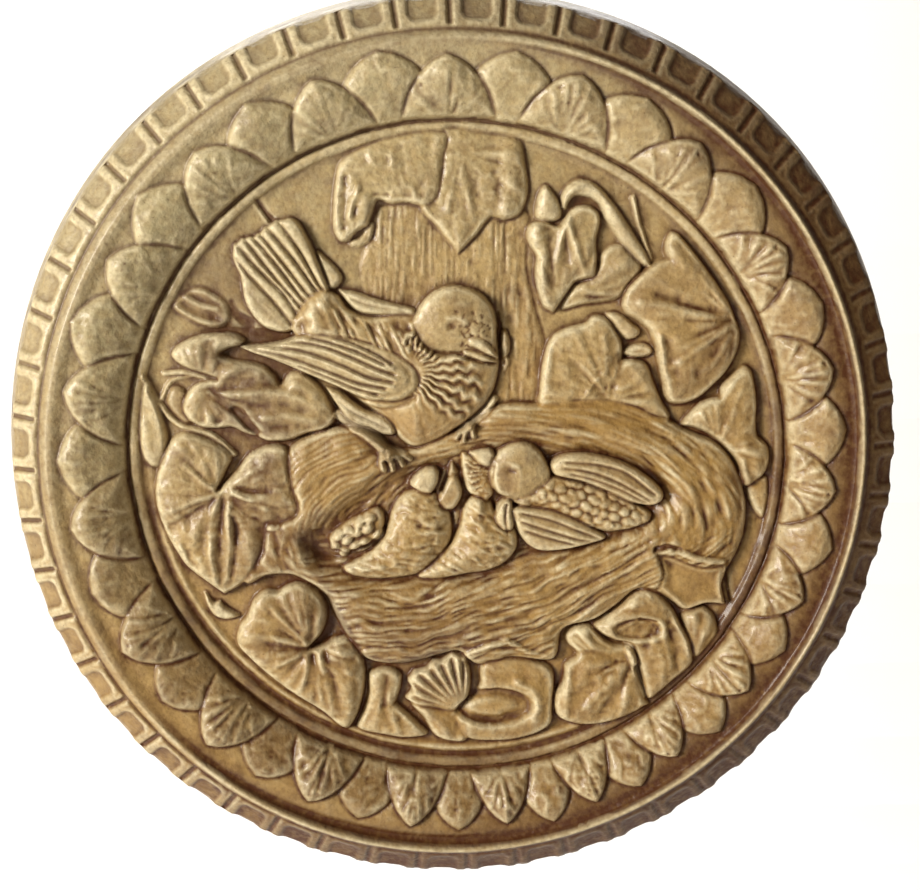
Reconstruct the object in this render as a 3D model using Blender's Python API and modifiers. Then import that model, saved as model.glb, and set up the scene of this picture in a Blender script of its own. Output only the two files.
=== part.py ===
# A round wall plate of moulded, glazed earthenware, modelled as one solid.
# It is drawn lying on its back, height along +Z, and an empty then hangs it upright:
# face to -Y, back to the wall plane Y = 0, origin at the top of the foot ring's rear face.
import math

import bmesh
import bpy
from mathutils import Matrix, Vector

mm = 0.001

# Driving dimensions
plate_radius = 180 * mm
wall = 8 * mm
foot_ring_radius = 96 * mm  # middle of its width
foot_ring_width = 8 * mm
foot_ring_depth = 10 * mm
field_radius = 131 * mm  # crest of the bead round the picture
band_outer_radius = 160.5 * mm
ridge_radius = 164.5 * mm
cup_zone_radius = 170 * mm

field_height = foot_ring_depth + wall
bead_height = field_height + 4 * mm
band_inner_height = field_height + 2.5 * mm
band_outer_height = field_height + 10 * mm
ridge_height = field_height + 14.6 * mm
cup_zone_height = field_height + 11 * mm
edge_height = field_height + 4 * mm
skirt_radius = 186 * mm  # the side flares from the rim to here
skirt_height = 4 * mm  # lowest part of the side above the wall
skirt_thickness = 4.5 * mm
sunk = 3 * mm  # how far a relief piece reaches down into the wall

turn_steps = 68
leaf_count = 20
cup_count = 52
cup_half_width = 5.5 * mm
first_cup_turn = 2.3  # degrees clockwise from the top
big_leaf_length = 25 * mm
small_leaf_length = 27 * mm
suspension_hole_radius = 2.2 * mm
suspension_hole_turn = 13  # degrees either side of the top

glaze_colour = (0.40, 0.27, 0.12, 1.0)
glaze_roughness = 0.25


def clear_scene():
    for obj in list(bpy.data.objects):
        bpy.data.objects.remove(obj, do_unlink=True)


def new_collection(name):
    collection = bpy.data.collections.new(name)
    bpy.context.scene.collection.children.link(collection)
    return collection


def glazed_earthenware():
    material = bpy.data.materials.new("glazed_earthenware")
    material.use_nodes = True
    shader = material.node_tree.nodes["Principled BSDF"]
    shader.inputs["Base Color"].default_value = glaze_colour
    shader.inputs["Roughness"].default_value = glaze_roughness
    shader.inputs["Metallic"].default_value = 0.0
    return material


def add_helper(mesh, name, collection, frame):
    # A helper takes part in the Booleans only, so it is hidden from renders.
    helper = bpy.data.objects.new(name, mesh)
    collection.objects.link(helper)
    helper.parent = frame
    helper.hide_render = True
    helper.display_type = "WIRE"
    return helper


def mesh_from(bm, name):
    bmesh.ops.recalc_face_normals(bm, faces=bm.faces)
    mesh = bpy.data.meshes.new(name)
    bm.to_mesh(mesh)
    bm.free()
    mesh.shade_smooth()
    mesh.set_sharp_from_angle(angle=math.radians(35))
    return mesh


def outline_mesh(name, points, low, high, chamfer=0.0):
    """A flat outline, given in millimetres, as a slab from low to high with its top edge taken off."""
    curve = bpy.data.curves.new(name + "_outline", "CURVE")
    curve.dimensions = "2D"
    curve.fill_mode = "BOTH"
    curve.extrude = (high - low) / 2
    spline = curve.splines.new("POLY")
    spline.points.add(len(points) - 1)
    for point, (x, y) in zip(spline.points, points):
        point.co = (x * mm, y * mm, 0, 1)
    spline.use_cyclic_u = True
    drawn = bpy.data.objects.new(name + "_outline", curve)
    bpy.context.scene.collection.objects.link(drawn)
    graph = bpy.context.evaluated_depsgraph_get()
    slab = bpy.data.meshes.new_from_object(drawn.evaluated_get(graph))
    bm = bmesh.new()
    bm.from_mesh(slab)
    bpy.data.objects.remove(drawn, do_unlink=True)
    bpy.data.meshes.remove(slab)
    bmesh.ops.remove_doubles(bm, verts=bm.verts, dist=0.00001)
    bmesh.ops.dissolve_limit(bm, angle_limit=0.02, verts=bm.verts, edges=bm.edges)
    bmesh.ops.translate(bm, verts=bm.verts, vec=(0, 0, (low + high) / 2))
    if chamfer:
        level = high - 0.0001
        rim = [e for e in bm.edges if all(v.co.z > level for v in e.verts)]
        bmesh.ops.bevel(bm, geom=rim, offset=chamfer, segments=1, affect="EDGES", clamp_overlap=True)
    return mesh_from(bm, name)


def ellipsoid(centre, radii, tilt, sides, rings):
    """A sphere stretched to three radii in millimetres and turned in the picture's plane."""
    bm = bmesh.new()
    bmesh.ops.create_uvsphere(bm, u_segments=sides, v_segments=rings, radius=1.0)
    shape = Matrix.Diagonal((*(Vector(radii) * mm), 1.0))
    turned = Matrix.Rotation(math.radians(tilt), 4, "Z")
    placed = Matrix.Translation(Vector(centre) * mm)
    bmesh.ops.transform(bm, matrix=placed @ turned @ shape, verts=bm.verts)
    return bm


def dome_mesh(name, centre, radii, tilt):
    """A rounded form that swells out of the field, cut flat where it ends inside the wall."""
    bm = ellipsoid(centre, radii, tilt, sides=12, rings=8)
    whole = bm.verts[:] + bm.edges[:] + bm.faces[:]
    level = (0, 0, field_height - sunk)
    bmesh.ops.bisect_plane(bm, geom=whole, plane_co=level, plane_no=(0, 0, 1), clear_inner=True)
    bmesh.ops.holes_fill(bm, edges=[e for e in bm.edges if e.is_boundary], sides=0)
    return mesh_from(bm, name)


def plate_profile():
    """Radius and height of the turned body, from the front's centre over the rim to the back's centre."""
    ring_outer = foot_ring_radius + foot_ring_width / 2
    ring_inner = foot_ring_radius - foot_ring_width / 2
    front = [
        (0, field_height),
        (field_radius - 3.5 * mm, field_height),
        (field_radius - 1.5 * mm, bead_height - 0.5 * mm),
        (field_radius, bead_height),
        (field_radius + 2 * mm, band_inner_height),
        (band_outer_radius, band_outer_height),
        (ridge_radius - 2 * mm, ridge_height - 1.2 * mm),
        (ridge_radius, ridge_height),
        (ridge_radius + 3 * mm, ridge_height - 1.2 * mm),
        (cup_zone_radius, cup_zone_height),
        (plate_radius - 1 * mm, edge_height + 0.5 * mm),
        (plate_radius, edge_height - 1 * mm),
    ]
    back = [
        (skirt_radius, skirt_height + 1 * mm),
        (skirt_radius - skirt_thickness, skirt_height),
        (plate_radius - skirt_thickness, edge_height - skirt_thickness),
        (ridge_radius + 2 * mm, ridge_height - wall - 2 * mm),
        (band_outer_radius, band_outer_height - wall),
        (field_radius + 2 * mm, band_inner_height - wall),
        (ring_outer + 1 * mm, foot_ring_depth),
        (ring_outer, 0),
        (ring_inner, 0),
        (ring_inner - 1 * mm, foot_ring_depth),
        (0, foot_ring_depth),
    ]
    return front + back


def turned_body(collection, frame, material):
    points = plate_profile()
    mesh = bpy.data.meshes.new("wall_plate")
    edges = [(i, i + 1) for i in range(len(points) - 1)]
    mesh.from_pydata([(radius, 0, height) for radius, height in points], edges, [])
    mesh.materials.append(material)
    body = bpy.data.objects.new("wall_plate", mesh)
    collection.objects.link(body)
    body.parent = frame
    turn = body.modifiers.new("turn", "SCREW")
    turn.steps = turn_steps
    turn.render_steps = turn_steps
    turn.use_merge_vertices = True
    turn.merge_threshold = 0.00005
    turn.use_smooth_shade = True
    return body


def around(bm, turn):
    """Turns a piece drawn at the top of the plate clockwise to its place."""
    bmesh.ops.rotate(bm, cent=(0, 0, 0), matrix=Matrix.Rotation(-turn, 3, "Z"), verts=bm.verts)


def leaf_turn(index):
    """Where a border leaf stands, in radians clockwise from the top: they crowd towards the foot of the plate."""
    even = math.tau * index / leaf_count
    drift = -3.4 + 8.2 * math.sin(even + 0.35) + 2.25 * math.sin(2 * even - 2.6)
    return even + math.radians(drift)


def leaf_outline(half_width, length, steps):
    """A pointed arch in millimetres, its foot on the X axis and its tip on +Y."""
    side = []
    for step in range(steps + 1):
        share = step / steps
        side.append((half_width * (1 - share**1.7) ** 0.62, length * share))
    return [(-x, y) for x, y in side[:-1]] + side[::-1]


def border_leaf(name, turn, half_width, length, steps, lift, chamfer, collection, frame):
    start_radius = field_radius + 2.5 * mm
    slope = math.atan2(band_outer_height - band_inner_height, band_outer_radius - field_radius - 2 * mm)
    points = leaf_outline(half_width / mm, length / mm, steps)
    mesh = outline_mesh(name, points, -2 * sunk, lift, chamfer)
    bm = bmesh.new()
    bm.from_mesh(mesh)
    bmesh.ops.rotate(bm, cent=(0, 0, 0), matrix=Matrix.Rotation(slope, 3, "X"), verts=bm.verts)
    foot_height = band_inner_height + (start_radius - field_radius - 2 * mm) * math.tan(slope)
    bmesh.ops.translate(bm, verts=bm.verts, vec=(0, start_radius, foot_height))
    around(bm, turn)
    bm.to_mesh(mesh)
    bm.free()
    add_helper(mesh, name, collection, frame)


def leaf_border(collection, frame):
    for i in range(leaf_count):
        turn, next_turn = leaf_turn(i), leaf_turn(i + 1)
        half_width = 0.385 * (next_turn - turn) * field_radius
        name = f"border_leaf_{i + 1}"
        border_leaf(name, turn, half_width, big_leaf_length, 4, 3.2 * mm, 1.1 * mm, collection, frame)
        name = f"border_leaf_behind_{i + 1}"
        middle = (turn + next_turn) / 2
        border_leaf(name, middle, 0.78 * half_width, small_leaf_length, 3, 1.7 * mm, 0, collection, frame)


def rim_cups(collection, frame):
    """The sunk cups of the rim, each round at its inner end and open at the plate's edge."""
    slope = math.atan2(edge_height - cup_zone_height, plate_radius - cup_zone_radius)
    half_width = cup_half_width / mm
    arc = [math.radians(angle) for angle in range(180, 361, 45)]
    points = [(half_width * math.cos(a), 0.85 * half_width * math.sin(a)) for a in arc]
    points += [(half_width, 12), (-half_width, 12)]
    for i in range(cup_count):
        mesh = outline_mesh(f"cup_{i + 1}", points, -2.4 * mm, 6 * mm)
        bm = bmesh.new()
        bm.from_mesh(mesh)
        bmesh.ops.rotate(bm, cent=(0, 0, 0), matrix=Matrix.Rotation(slope, 3, "X"), verts=bm.verts)
        middle_radius = cup_zone_radius + 6 * mm
        middle_height = cup_zone_height + 6 * mm * math.tan(slope)
        bmesh.ops.translate(bm, verts=bm.verts, vec=(0, middle_radius, middle_height))
        around(bm, math.radians(first_cup_turn) + math.tau * i / cup_count)
        bm.to_mesh(mesh)
        bm.free()
        add_helper(mesh, f"cup_{i + 1}", collection, frame)


def suspension_holes(collection, frame):
    """Two holes through the foot ring, where a hanging wire goes."""
    for side in (-1, 1):
        bm = bmesh.new()
        bmesh.ops.create_cone(
            bm,
            cap_ends=True,
            segments=10,
            radius1=suspension_hole_radius,
            radius2=suspension_hole_radius,
            depth=3 * foot_ring_width,
            matrix=Matrix.Rotation(math.pi / 2, 4, "X"),
        )
        bmesh.ops.translate(bm, verts=bm.verts, vec=(0, foot_ring_radius, foot_ring_depth / 2))
        around(bm, math.radians(side * suspension_hole_turn))
        name = "suspension_hole_left" if side < 0 else "suspension_hole_right"
        add_helper(mesh_from(bm, name), name, collection, frame)


# The picture's foliage: name, height above the field in millimetres, outline in millimetres
# from the plate's centre. Pieces further forward stand higher and cover those behind.
def foliage():
    return {
        "tree_trunk": (2.5, [(-33, 100), (-40, 80), (-38, 60), (0, 15), (33, 18), (34, 60), (27, 100)]),
        "hanging_leaf": (
            6.5,
            [(-50, 102), (-50, 91), (-46, 86), (-37, 96), (-27, 102), (-12, 101), (-7, 108), (-5, 128), (-44, 120)],
        ),
        "pointed_leaf": (5.0, [(-15, 102), (0, 82), (14, 96), (25, 97), (28, 110), (20, 128), (-10, 130)]),
        "bud": (5.0, [(31, 98), (32, 105), (35, 109), (41, 103), (40, 95)]),
        "small_ivy_leaf": (
            6.5,
            [(27, 89), (31, 94), (41, 95), (51, 101), (57, 97), (56, 76), (53, 70), (47, 71), (39, 58), (34, 59), (31, 75)],
        ),
        "round_leaf": (4.2, [(56, 79), (60, 84), (68, 82), (73, 76), (66, 67), (58, 68)]),
        "fan_leaf": (
            7.5,
            [(66, 62), (72, 55), (79, 48), (84, 24), (90, 21), (104, 28), (114, 46), (112, 58), (96, 81), (86, 90), (83, 79), (70, 71)],
        ),
        "upper_twig_stub": (3.4, [(61, 57), (66, 57), (74, 50), (69, 46)]),
        "lower_twig_stub": (3.0, [(67, 40), (69, 45), (79, 44), (78, 39)]),
        "ivy_leaf": (
            7.0,
            [(33, 17), (34, 42), (38, 50), (51, 53), (56, 57), (66, 48), (67, 40), (77, 37), (84, 18), (60, 14)],
        ),
        "right_leaf": (
            6.0,
            [(92, 13), (107, 23), (112, 32), (118, 36), (123, 25), (123, 8), (128, 0), (126, -11), (119, -14), (114, -1), (101, 9)],
        ),
        "upper_left_leaf": (4.0, [(-112, 60), (-104, 54), (-92, 53), (-90, 62), (-103, 69)]),
        "oak_leaf": (
            6.0,
            [
                (-99, 32), (-110, 35), (-116, 42), (-102, 50), (-86, 49), (-82, 38), (-66, 35), (-56, 27),
                (-50, 14), (-70, 6), (-86, 8), (-105, 11), (-112, 22),
            ],
        ),
        "left_sliver_leaf": (3.5, [(-126, 31), (-119, 10), (-121, -2), (-128, 2), (-129, 16)]),
        "left_ivy_leaf": (
            8.0,
            [
                (-98, -12), (-93, 1), (-106, 9), (-114, 9), (-123, -7), (-122, -27), (-112, -45), (-97, -58),
                (-84, -47), (-78, -28), (-66, -24), (-69, 3), (-80, 4), (-91, -6),
            ],
        ),
        "curled_tip": (3.5, [(-104, -57), (-101, -67), (-91, -67), (-95, -61)]),
        "rosette_leaf": (
            8.0,
            [
                (-62, -80), (-54, -67), (-58, -57), (-67, -53), (-81, -56), (-88, -66), (-93, -76), (-80, -93),
                (-62, -107), (-46, -117), (-39, -100), (-42, -81), (-52, -77),
            ],
        ),
        "waisted_leaf": (
            6.0,
            [(-38, -97), (-36, -91), (-25, -91), (-27, -106), (-13, -120), (-43, -117)],
        ),
        "pleated_fan": (7.0, [(-21, -95), (-8, -86), (1, -84), (5, -94), (-2, -110), (-19, -107)]),
        "fan_stalk": (5.0, [(-17, -109), (-2, -107), (4, -112), (1, -122), (-8, -122)]),
        "rolled_leaf": (6.5, [(9, -95), (14, -88), (32, -88), (41, -97), (38, -118), (12, -122), (0, -113)]),
        "lower_right_leaf": (
            7.5,
            [(45, -77), (52, -73), (64, -80), (73, -84), (80, -107), (58, -117), (41, -111), (46, -88), (49, -83)],
        ),
        "hollowed_leaf": (
            6.5,
            [(57, -73), (68, -63), (80, -57), (90, -64), (95, -82), (88, -98), (79, -104), (74, -84), (62, -79)],
        ),
        "right_round_leaf": (5.5, [(95, -68), (105, -66), (109, -75), (101, -88), (95, -78)]),
        "nest_edge_leaf": (7.0, [(82, -43), (92, -43), (110, -47), (113, -64), (96, -66), (83, -56)]),
    }


def ribbon_stem(collection, frame):
    """The tapering stem that arches over from the ivy leaf to the fan leaf."""
    curve = bpy.data.curves.new("ribbon_stem", "CURVE")
    curve.dimensions = "3D"
    curve.bevel_depth = 4 * mm
    curve.bevel_resolution = 1
    curve.use_fill_caps = True
    spline = curve.splines.new("POLY")
    route = [(42, 98, 0.8), (44, 107, 1.0), (51, 110, 1.0), (58, 104, 1.0), (66, 92, 0.9), (76, 78, 0.5)]
    spline.points.add(len(route) - 1)
    for point, (x, y, thickness) in zip(spline.points, route):
        point.co = (x * mm, y * mm, field_height, 1)
        point.radius = thickness
    drawn = bpy.data.objects.new("ribbon_stem_route", curve)
    bpy.context.scene.collection.objects.link(drawn)
    graph = bpy.context.evaluated_depsgraph_get()
    bm = bmesh.new()
    tube = bpy.data.meshes.new_from_object(drawn.evaluated_get(graph))
    bm.from_mesh(tube)
    bpy.data.objects.remove(drawn, do_unlink=True)
    bpy.data.meshes.remove(tube)
    bmesh.ops.remove_doubles(bm, verts=bm.verts, dist=0.00001)
    add_helper(mesh_from(bm, "ribbon_stem"), "ribbon_stem", collection, frame)


def nest(collection, cutters, frame):
    outline = [
        (-68, 3), (-50, 12), (-34, 8), (-20, 3), (0, 10), (20, 21), (55, 23), (84, 15), (105, 6), (118, -14),
        (118, -38), (106, -55), (82, -58), (57, -71), (30, -84), (-22, -89), (-40, -86), (-56, -66), (-74, -36),
    ]
    mesh = outline_mesh("nest", outline, field_height - sunk, field_height + 8.5 * mm, chamfer=3 * mm)
    straw = add_helper(mesh, "nest", collection, frame)
    bowl = ellipsoid((12, -25, field_height / mm + 10), (70, 29, 8.4), tilt=6, sides=20, rings=8)
    hollow = mesh_from(bowl, "nest_hollow")
    cut = straw.modifiers.new("hollow", "BOOLEAN")
    cut.operation = "DIFFERENCE"
    cut.solver = "EXACT"
    cut.object = add_helper(hollow, "nest_hollow", cutters, frame)


def tail_fan(collection, frame):
    """Seven long feathers spread from the old bird's rump."""
    feathers = 7
    root = Vector((-55, 59))
    for i in range(feathers):
        angle = math.radians(156 - 51 * i / (feathers - 1))
        along = Vector((math.cos(angle), math.sin(angle)))
        across = Vector((-along.y, along.x))
        tip = root + along * 38
        points = [root - across * 1.6, root + across * 1.6, tip + across * 3.1, tip + along * 2.5, tip - across * 3.1]
        top = field_height + (5.6 + 0.35 * i) * mm
        mesh = outline_mesh(f"tail_feather_{i + 1}", points, field_height - sunk, top, chamfer=0.9 * mm)
        add_helper(mesh, f"tail_feather_{i + 1}", collection, frame)


def old_bird(collection, frame):
    """The parent bird, head to the right, reaching over the nest."""
    base = field_height / mm
    forms = {
        "rump": ((-52, 60, base), (15, 9, 7.5), -20),
        "back": ((-28, 44, base), (28, 18, 8.5), -18),
        "breast": ((-4, 33, base), (22, 24, 11.5), 20),
        "head": ((-1, 52, base + 1), (17.5, 17.5, 14.5), 0),
    }
    for name, (centre, radii, tilt) in forms.items():
        add_helper(dome_mesh(f"bird_{name}", centre, radii, tilt), f"bird_{name}", collection, frame)
    flat_forms = {
        "bird_near_wing": (
            12.0,
            [(-88, 45), (-72, 48), (-60, 50), (-38, 47), (-18, 37), (-17, 28), (-26, 21), (-40, 23), (-64, 35)],
        ),
        "bird_far_wing": (6.0, [(-47, 67), (-30, 63), (-14, 61), (-20, 56), (-42, 58)]),
        "bird_lower_feather": (7.5, [(-53, 28), (-44, 24), (-26, 13), (-28, 7), (-45, 15)]),
        "bird_leg": (7.0, [(-50, 17), (-38, 12), (-25, -2), (-29, -5), (-43, 8)]),
        "bird_upper_beak": (12.5, [(2, 50), (17, 43), (3, 42)]),
        "bird_lower_beak": (10.0, [(3, 43), (16, 41), (6, 36)]),
        "worm": (5.0, [(17, 52), (21, 50), (22, 38), (19, 36), (16, 44)]),
    }
    for name, (lift, points) in flat_forms.items():
        top = field_height + lift * mm
        mesh = outline_mesh(name, points, field_height - sunk, top, chamfer=1.2 * mm)
        add_helper(mesh, name, collection, frame)


def young_birds(collection, frame):
    """Two nestlings with open beaks and a third, fledged, at the right of the nest."""
    base = field_height / mm
    forms = {
        "first_chick_body": ((-22, -36, base + 1), (11, 19, 8.5), -35),
        "first_chick_head": ((-18, -24, base + 2), (11, 11, 9), 0),
        "second_chick_body": ((8, -36, base + 1), (12, 18, 8.5), -35),
        "second_chick_head": ((10, -27, base + 2), (9.5, 11, 9), 0),
        "fledgling_head": ((24, -6, base + 2), (11.5, 11, 10), 0),
        "fledgling_body": ((50, -20, base + 2), (31, 12, 7.5), -12),
    }
    for name, (centre, radii, tilt) in forms.items():
        add_helper(dome_mesh(name, centre, radii, tilt), name, collection, frame)
    flat_forms = {
        "first_chick_wing": (9.5, [(-52, -33), (-40, -23), (-31, -22), (-32, -32), (-42, -39), (-51, -39)]),
        "first_chick_upper_beak": (11.0, [(-21, -13), (-11, -4), (-7, -8), (-12, -17)]),
        "first_chick_lower_beak": (10.0, [(-9, -20), (-7, -13), (-1, -2), (0, -14), (-5, -23)]),
        "second_chick_beak": (11.5, [(14, -24), (16, -19), (22, -18), (23, -27), (19, -31)]),
        "fledgling_upper_beak": (10.0, [(4, 1), (14, 3), (14, -5), (9, -3)]),
        "fledgling_throat": (8.0, [(0, 0), (8, -3), (13, -8), (12, -19), (4, -17)]),
        "fledgling_upper_wing": (
            11.5,
            [(37, -4), (44, 1), (61, 0), (79, -9), (85, -17), (80, -22), (58, -14), (41, -9)],
        ),
        "fledgling_lower_wing": (10.5, [(22, -22), (40, -24), (61, -33), (48, -39), (34, -40), (25, -33)]),
    }
    for name, (lift, points) in flat_forms.items():
        top = field_height + lift * mm
        mesh = outline_mesh(name, points, field_height - sunk, top, chamfer=1.2 * mm)
        add_helper(mesh, name, collection, frame)


def join(body, name, operation, collection):
    step = body.modifiers.new(name, "BOOLEAN")
    step.operation = operation
    step.solver = "EXACT"
    step.operand_type = "COLLECTION"
    step.collection = collection


def build():
    clear_scene()
    plate = new_collection("ceramic_wall_plate")
    relief = new_collection("relief_to_join")
    cups = new_collection("rim_cutters")
    holes = new_collection("foot_ring_cutters")
    hollows = new_collection("hollow_cutters")
    frame = bpy.data.objects.new("hanging_frame", None)
    plate.objects.link(frame)
    frame.rotation_euler = (math.radians(90), 0, 0)
    frame.location = (0, 0, -foot_ring_radius)

    body = turned_body(plate, frame, glazed_earthenware())
    rim_cups(cups, frame)
    leaf_border(relief, frame)
    for name, (lift, points) in foliage().items():
        top = field_height + lift * mm
        mesh = outline_mesh(name, points, field_height - sunk, top, chamfer=1.3 * mm)
        add_helper(mesh, name, relief, frame)
    ribbon_stem(relief, frame)
    nest(relief, hollows, frame)
    tail_fan(relief, frame)
    old_bird(relief, frame)
    young_birds(relief, frame)
    suspension_holes(holes, frame)
    join(body, "cut_cups", "DIFFERENCE", cups)
    join(body, "join_relief", "UNION", relief)
    join(body, "cut_holes", "DIFFERENCE", holes)


build()
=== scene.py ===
# A round wall plate of moulded earthenware under a honey-brown glaze:
# a bird feeds its young at the nest, ringed by ivy, a border of leaves and a rim of sunk cups.
import math

import bpy
import numpy as np
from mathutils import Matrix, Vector


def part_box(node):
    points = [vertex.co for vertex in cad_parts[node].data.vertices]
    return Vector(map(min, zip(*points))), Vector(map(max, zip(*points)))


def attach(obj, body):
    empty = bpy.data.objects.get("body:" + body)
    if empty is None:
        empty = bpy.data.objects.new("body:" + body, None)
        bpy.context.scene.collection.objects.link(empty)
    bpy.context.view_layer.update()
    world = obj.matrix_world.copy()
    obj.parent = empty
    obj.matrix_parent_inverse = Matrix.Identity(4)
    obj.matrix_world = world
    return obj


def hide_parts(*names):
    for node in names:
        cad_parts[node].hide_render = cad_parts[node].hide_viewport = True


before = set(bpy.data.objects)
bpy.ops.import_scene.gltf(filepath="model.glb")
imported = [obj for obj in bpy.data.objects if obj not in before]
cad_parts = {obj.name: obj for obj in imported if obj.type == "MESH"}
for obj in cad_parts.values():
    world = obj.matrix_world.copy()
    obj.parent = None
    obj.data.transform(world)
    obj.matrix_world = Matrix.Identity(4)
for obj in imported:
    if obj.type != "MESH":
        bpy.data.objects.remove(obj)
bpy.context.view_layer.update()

# The relief is drawn in millimetres on the plate's own plane: x to the right, z up, both from
# the plate's centre, and height out of the picture's flat ground.
plate = {
    "cell": 0.4,  # spacing of the height samples
    "rings": 300,  # mesh rings from the centre to the edge
    "triangles": 186000,  # after the mesh is thinned out
    "radius": 181.2,
    "ground": 18.0,  # the picture's ground above the wall
    "skirtRadius": 186.0,  # the side flares from the rim to here
    "skirtHeight": 4.0,  # the side's lowest part above the wall
    "beadRadius": 132.3,
    "beadHalfWidth": 2.1,
    "beadHeight": 2.6,
    "bandInner": 2.2,  # height where the sloping band starts
    "ridgeRadius": 165.3,
    "ridgeHeight": 14.4,
    "cupZoneRadius": 170.0,
    "cupZoneHeight": 11.2,
    "edgeHeight": 4.2,
    "cups": 52,
    "firstSlot": -1.2,  # degrees clockwise from the top
    "cupHalfWidth": 6.2,
    "cupCorner": 3.6,
    "cupEnd": 171.8,  # radius of the cups' closed end
    "cupDepth": 1.2,
    "edgeNotch": 1.2,  # how far each cup bites into the outer edge
    "leaves": 20,
    "leafTipRadius": 158.6,
    "leafHalfWidth": 0.385,  # share of the gap between neighbours
    "smallLeafHalfWidth": 0.33,
    "sideStart": 179.0,  # radius where the plain side begins
    "sideTint": 177.5,  # the side takes its tint from this radius
    "footRingRadius": 96.0,
    "footRingWidth": 8.0,
    "footRingDepth": 10.0,
    "holeRadius": 2.2,
    "holeTurn": 13.0,  # degrees either side of the top
    "relief": 0.92,  # the low relief's own height scale
    "lipSharpness": 0.85,
    "shadeSide": 105.0,  # edges that face this way, away from the lamp, get painted shade and deeper creases, and those facing back painted highlights; clockwise from the top
}

lowCorner, highCorner = (np.array(corner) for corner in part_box("wall_plate"))
hub = (lowCorner + highCorner) / 2 * (1, 0, 1)  # the plate's centre, on the wall

reach = 188.0
axis = np.arange(-reach, reach + plate["cell"] / 2, plate["cell"])
gridX, gridZ = np.meshgrid(axis, axis)
gridRadius = np.hypot(gridX, gridZ)
gridTurn = np.degrees(np.arctan2(gridX, gridZ)) % 360  # clockwise from the top
height = np.zeros_like(gridX)
bodyHeight = np.zeros_like(gridX)  # the turned body alone, without its ornament
paint = {name: np.zeros_like(gridX) for name in ("green", "straw", "umber", "pale")}


def smoothLine(points, closed=True, perSpan=6):
    # A smooth line through the points. A point with a third value stays a sharp corner.
    spots = [np.array(point[:2], float) for point in points]
    corner = [len(point) > 2 for point in points]
    count = len(spots)
    drawn = []
    for i in range(count if closed else count - 1):
        following = (i + 1) % count
        here, there = spots[i], spots[following]
        chord = there - here
        openStart = corner[i] or (not closed and i == 0)
        openEnd = corner[following] or (not closed and i + 2 >= count)
        before = here - chord if openStart else spots[i - 1]
        after = there + chord if openEnd else spots[(i + 2) % count]
        leave, arrive = (there - before) / 2, (after - here) / 2
        longest = np.hypot(*chord) + 1e-9
        leave = leave * min(1, longest / (np.hypot(*leave) + 1e-9))
        arrive = arrive * min(1, longest / (np.hypot(*arrive) + 1e-9))
        for t in np.arange(perSpan) / perSpan:
            drawn.append(
                (2 * t**3 - 3 * t**2 + 1) * here
                + (t**3 - 2 * t**2 + t) * leave
                + (3 * t**2 - 2 * t**3) * there
                + (t**3 - t**2) * arrive
            )
    if not closed:
        drawn.append(spots[-1])
    return np.array(drawn)


def window(line, margin):
    low, high = line.min(0) - margin, line.max(0) + margin
    first = np.maximum(((low + reach) / plate["cell"]).astype(int), 0)
    last = np.minimum(((high + reach) / plate["cell"]).astype(int) + 2, len(axis))
    return slice(first[1], last[1]), slice(first[0], last[0])


def segmentGap(x, z, start, end):
    # Squared distance to one straight piece, and how far along it the nearest point is.
    dx, dz = end - start
    share = np.clip(((x - start[0]) * dx + (z - start[1]) * dz) / (dx * dx + dz * dz + 1e-12), 0, 1)
    return (x - start[0] - share * dx) ** 2 + (z - start[1] - share * dz) ** 2, share


def insideDistance(line, x, z):
    # Distance to a closed line, positive inside it.
    nearest = np.full(x.shape, 1e9)
    inside = np.zeros(x.shape, bool)
    for start, end in zip(line, np.roll(line, -1, axis=0)):
        nearest = np.minimum(nearest, segmentGap(x, z, start, end)[0])
        rise = end[1] - start[1]
        if rise:
            crossing = start[0] + (z - start[1]) * (end[0] - start[0]) / rise
            inside ^= ((start[1] > z) != (end[1] > z)) & (x < crossing)
    return np.where(inside, 1, -1) * np.sqrt(nearest)


def strokeDistance(line, x, z):
    # Distance to an open line, and the share of its run at the nearest point.
    nearest = np.full(x.shape, 1e9)
    along = np.zeros(x.shape)
    pieces = len(line) - 1
    for i in range(pieces):
        gap, share = segmentGap(x, z, line[i], line[i + 1])
        closer = gap < nearest
        nearest = np.where(closer, gap, nearest)
        along = np.where(closer, (i + share) / pieces, along)
    return np.sqrt(nearest), along


def smoothStep(low, high, value):
    t = np.clip((value - low) / (high - low), 0, 1)
    return t * t * (3 - 2 * t)


def bump(gap, width):
    # 1 on a line, falling softly to both sides of it.
    return np.exp(-((gap / width) ** 2))


def sector(angle, low, high):
    # From 0 to 1 round the plate towards an angle; low and high are cosines of the angle away from it.
    return smoothStep(low, high, np.cos(np.radians(gridTurn - angle)))


def between(corner, s, t):
    # Reads a value between four corners.
    low, high = (row[0] * (1 - s) + row[1] * s for row in corner)
    return low * (1 - t) + high * t


noiseTable = np.random.default_rng(7).random((64, 64))


def cloud(u, v, shift=0):
    # Smooth noise from 0 to 1 that changes over one unit of u and of v.
    u, v = u + 17.3 * shift, v + 5.7 * shift
    left, low = np.floor(u).astype(int), np.floor(v).astype(int)
    s, t = u - left, v - low
    s, t = s * s * (3 - 2 * s), t * t * (3 - 2 * t)
    size = len(noiseTable)
    return between(
        [[noiseTable[(low + j) % size, (left + i) % size] for i in (0, 1)] for j in (0, 1)], s, t,
    )


def grain(x, z, angle, across, along):
    # Noise drawn out into streaks that run at an angle, in degrees from the x axis.
    a = math.radians(angle)
    return cloud((z * math.cos(a) - x * math.sin(a)) / across, (x * math.cos(a) + z * math.sin(a)) / along)


def facingShadeSide(field):
    # How far a falling surface faces the side where shade is painted, away from the lamp.
    slopeZ, slopeX = np.gradient(field, plate["cell"])
    darkening = math.radians(plate["shadeSide"])
    return -(slopeX * math.sin(darkening) + slopeZ * math.cos(darkening))


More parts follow.
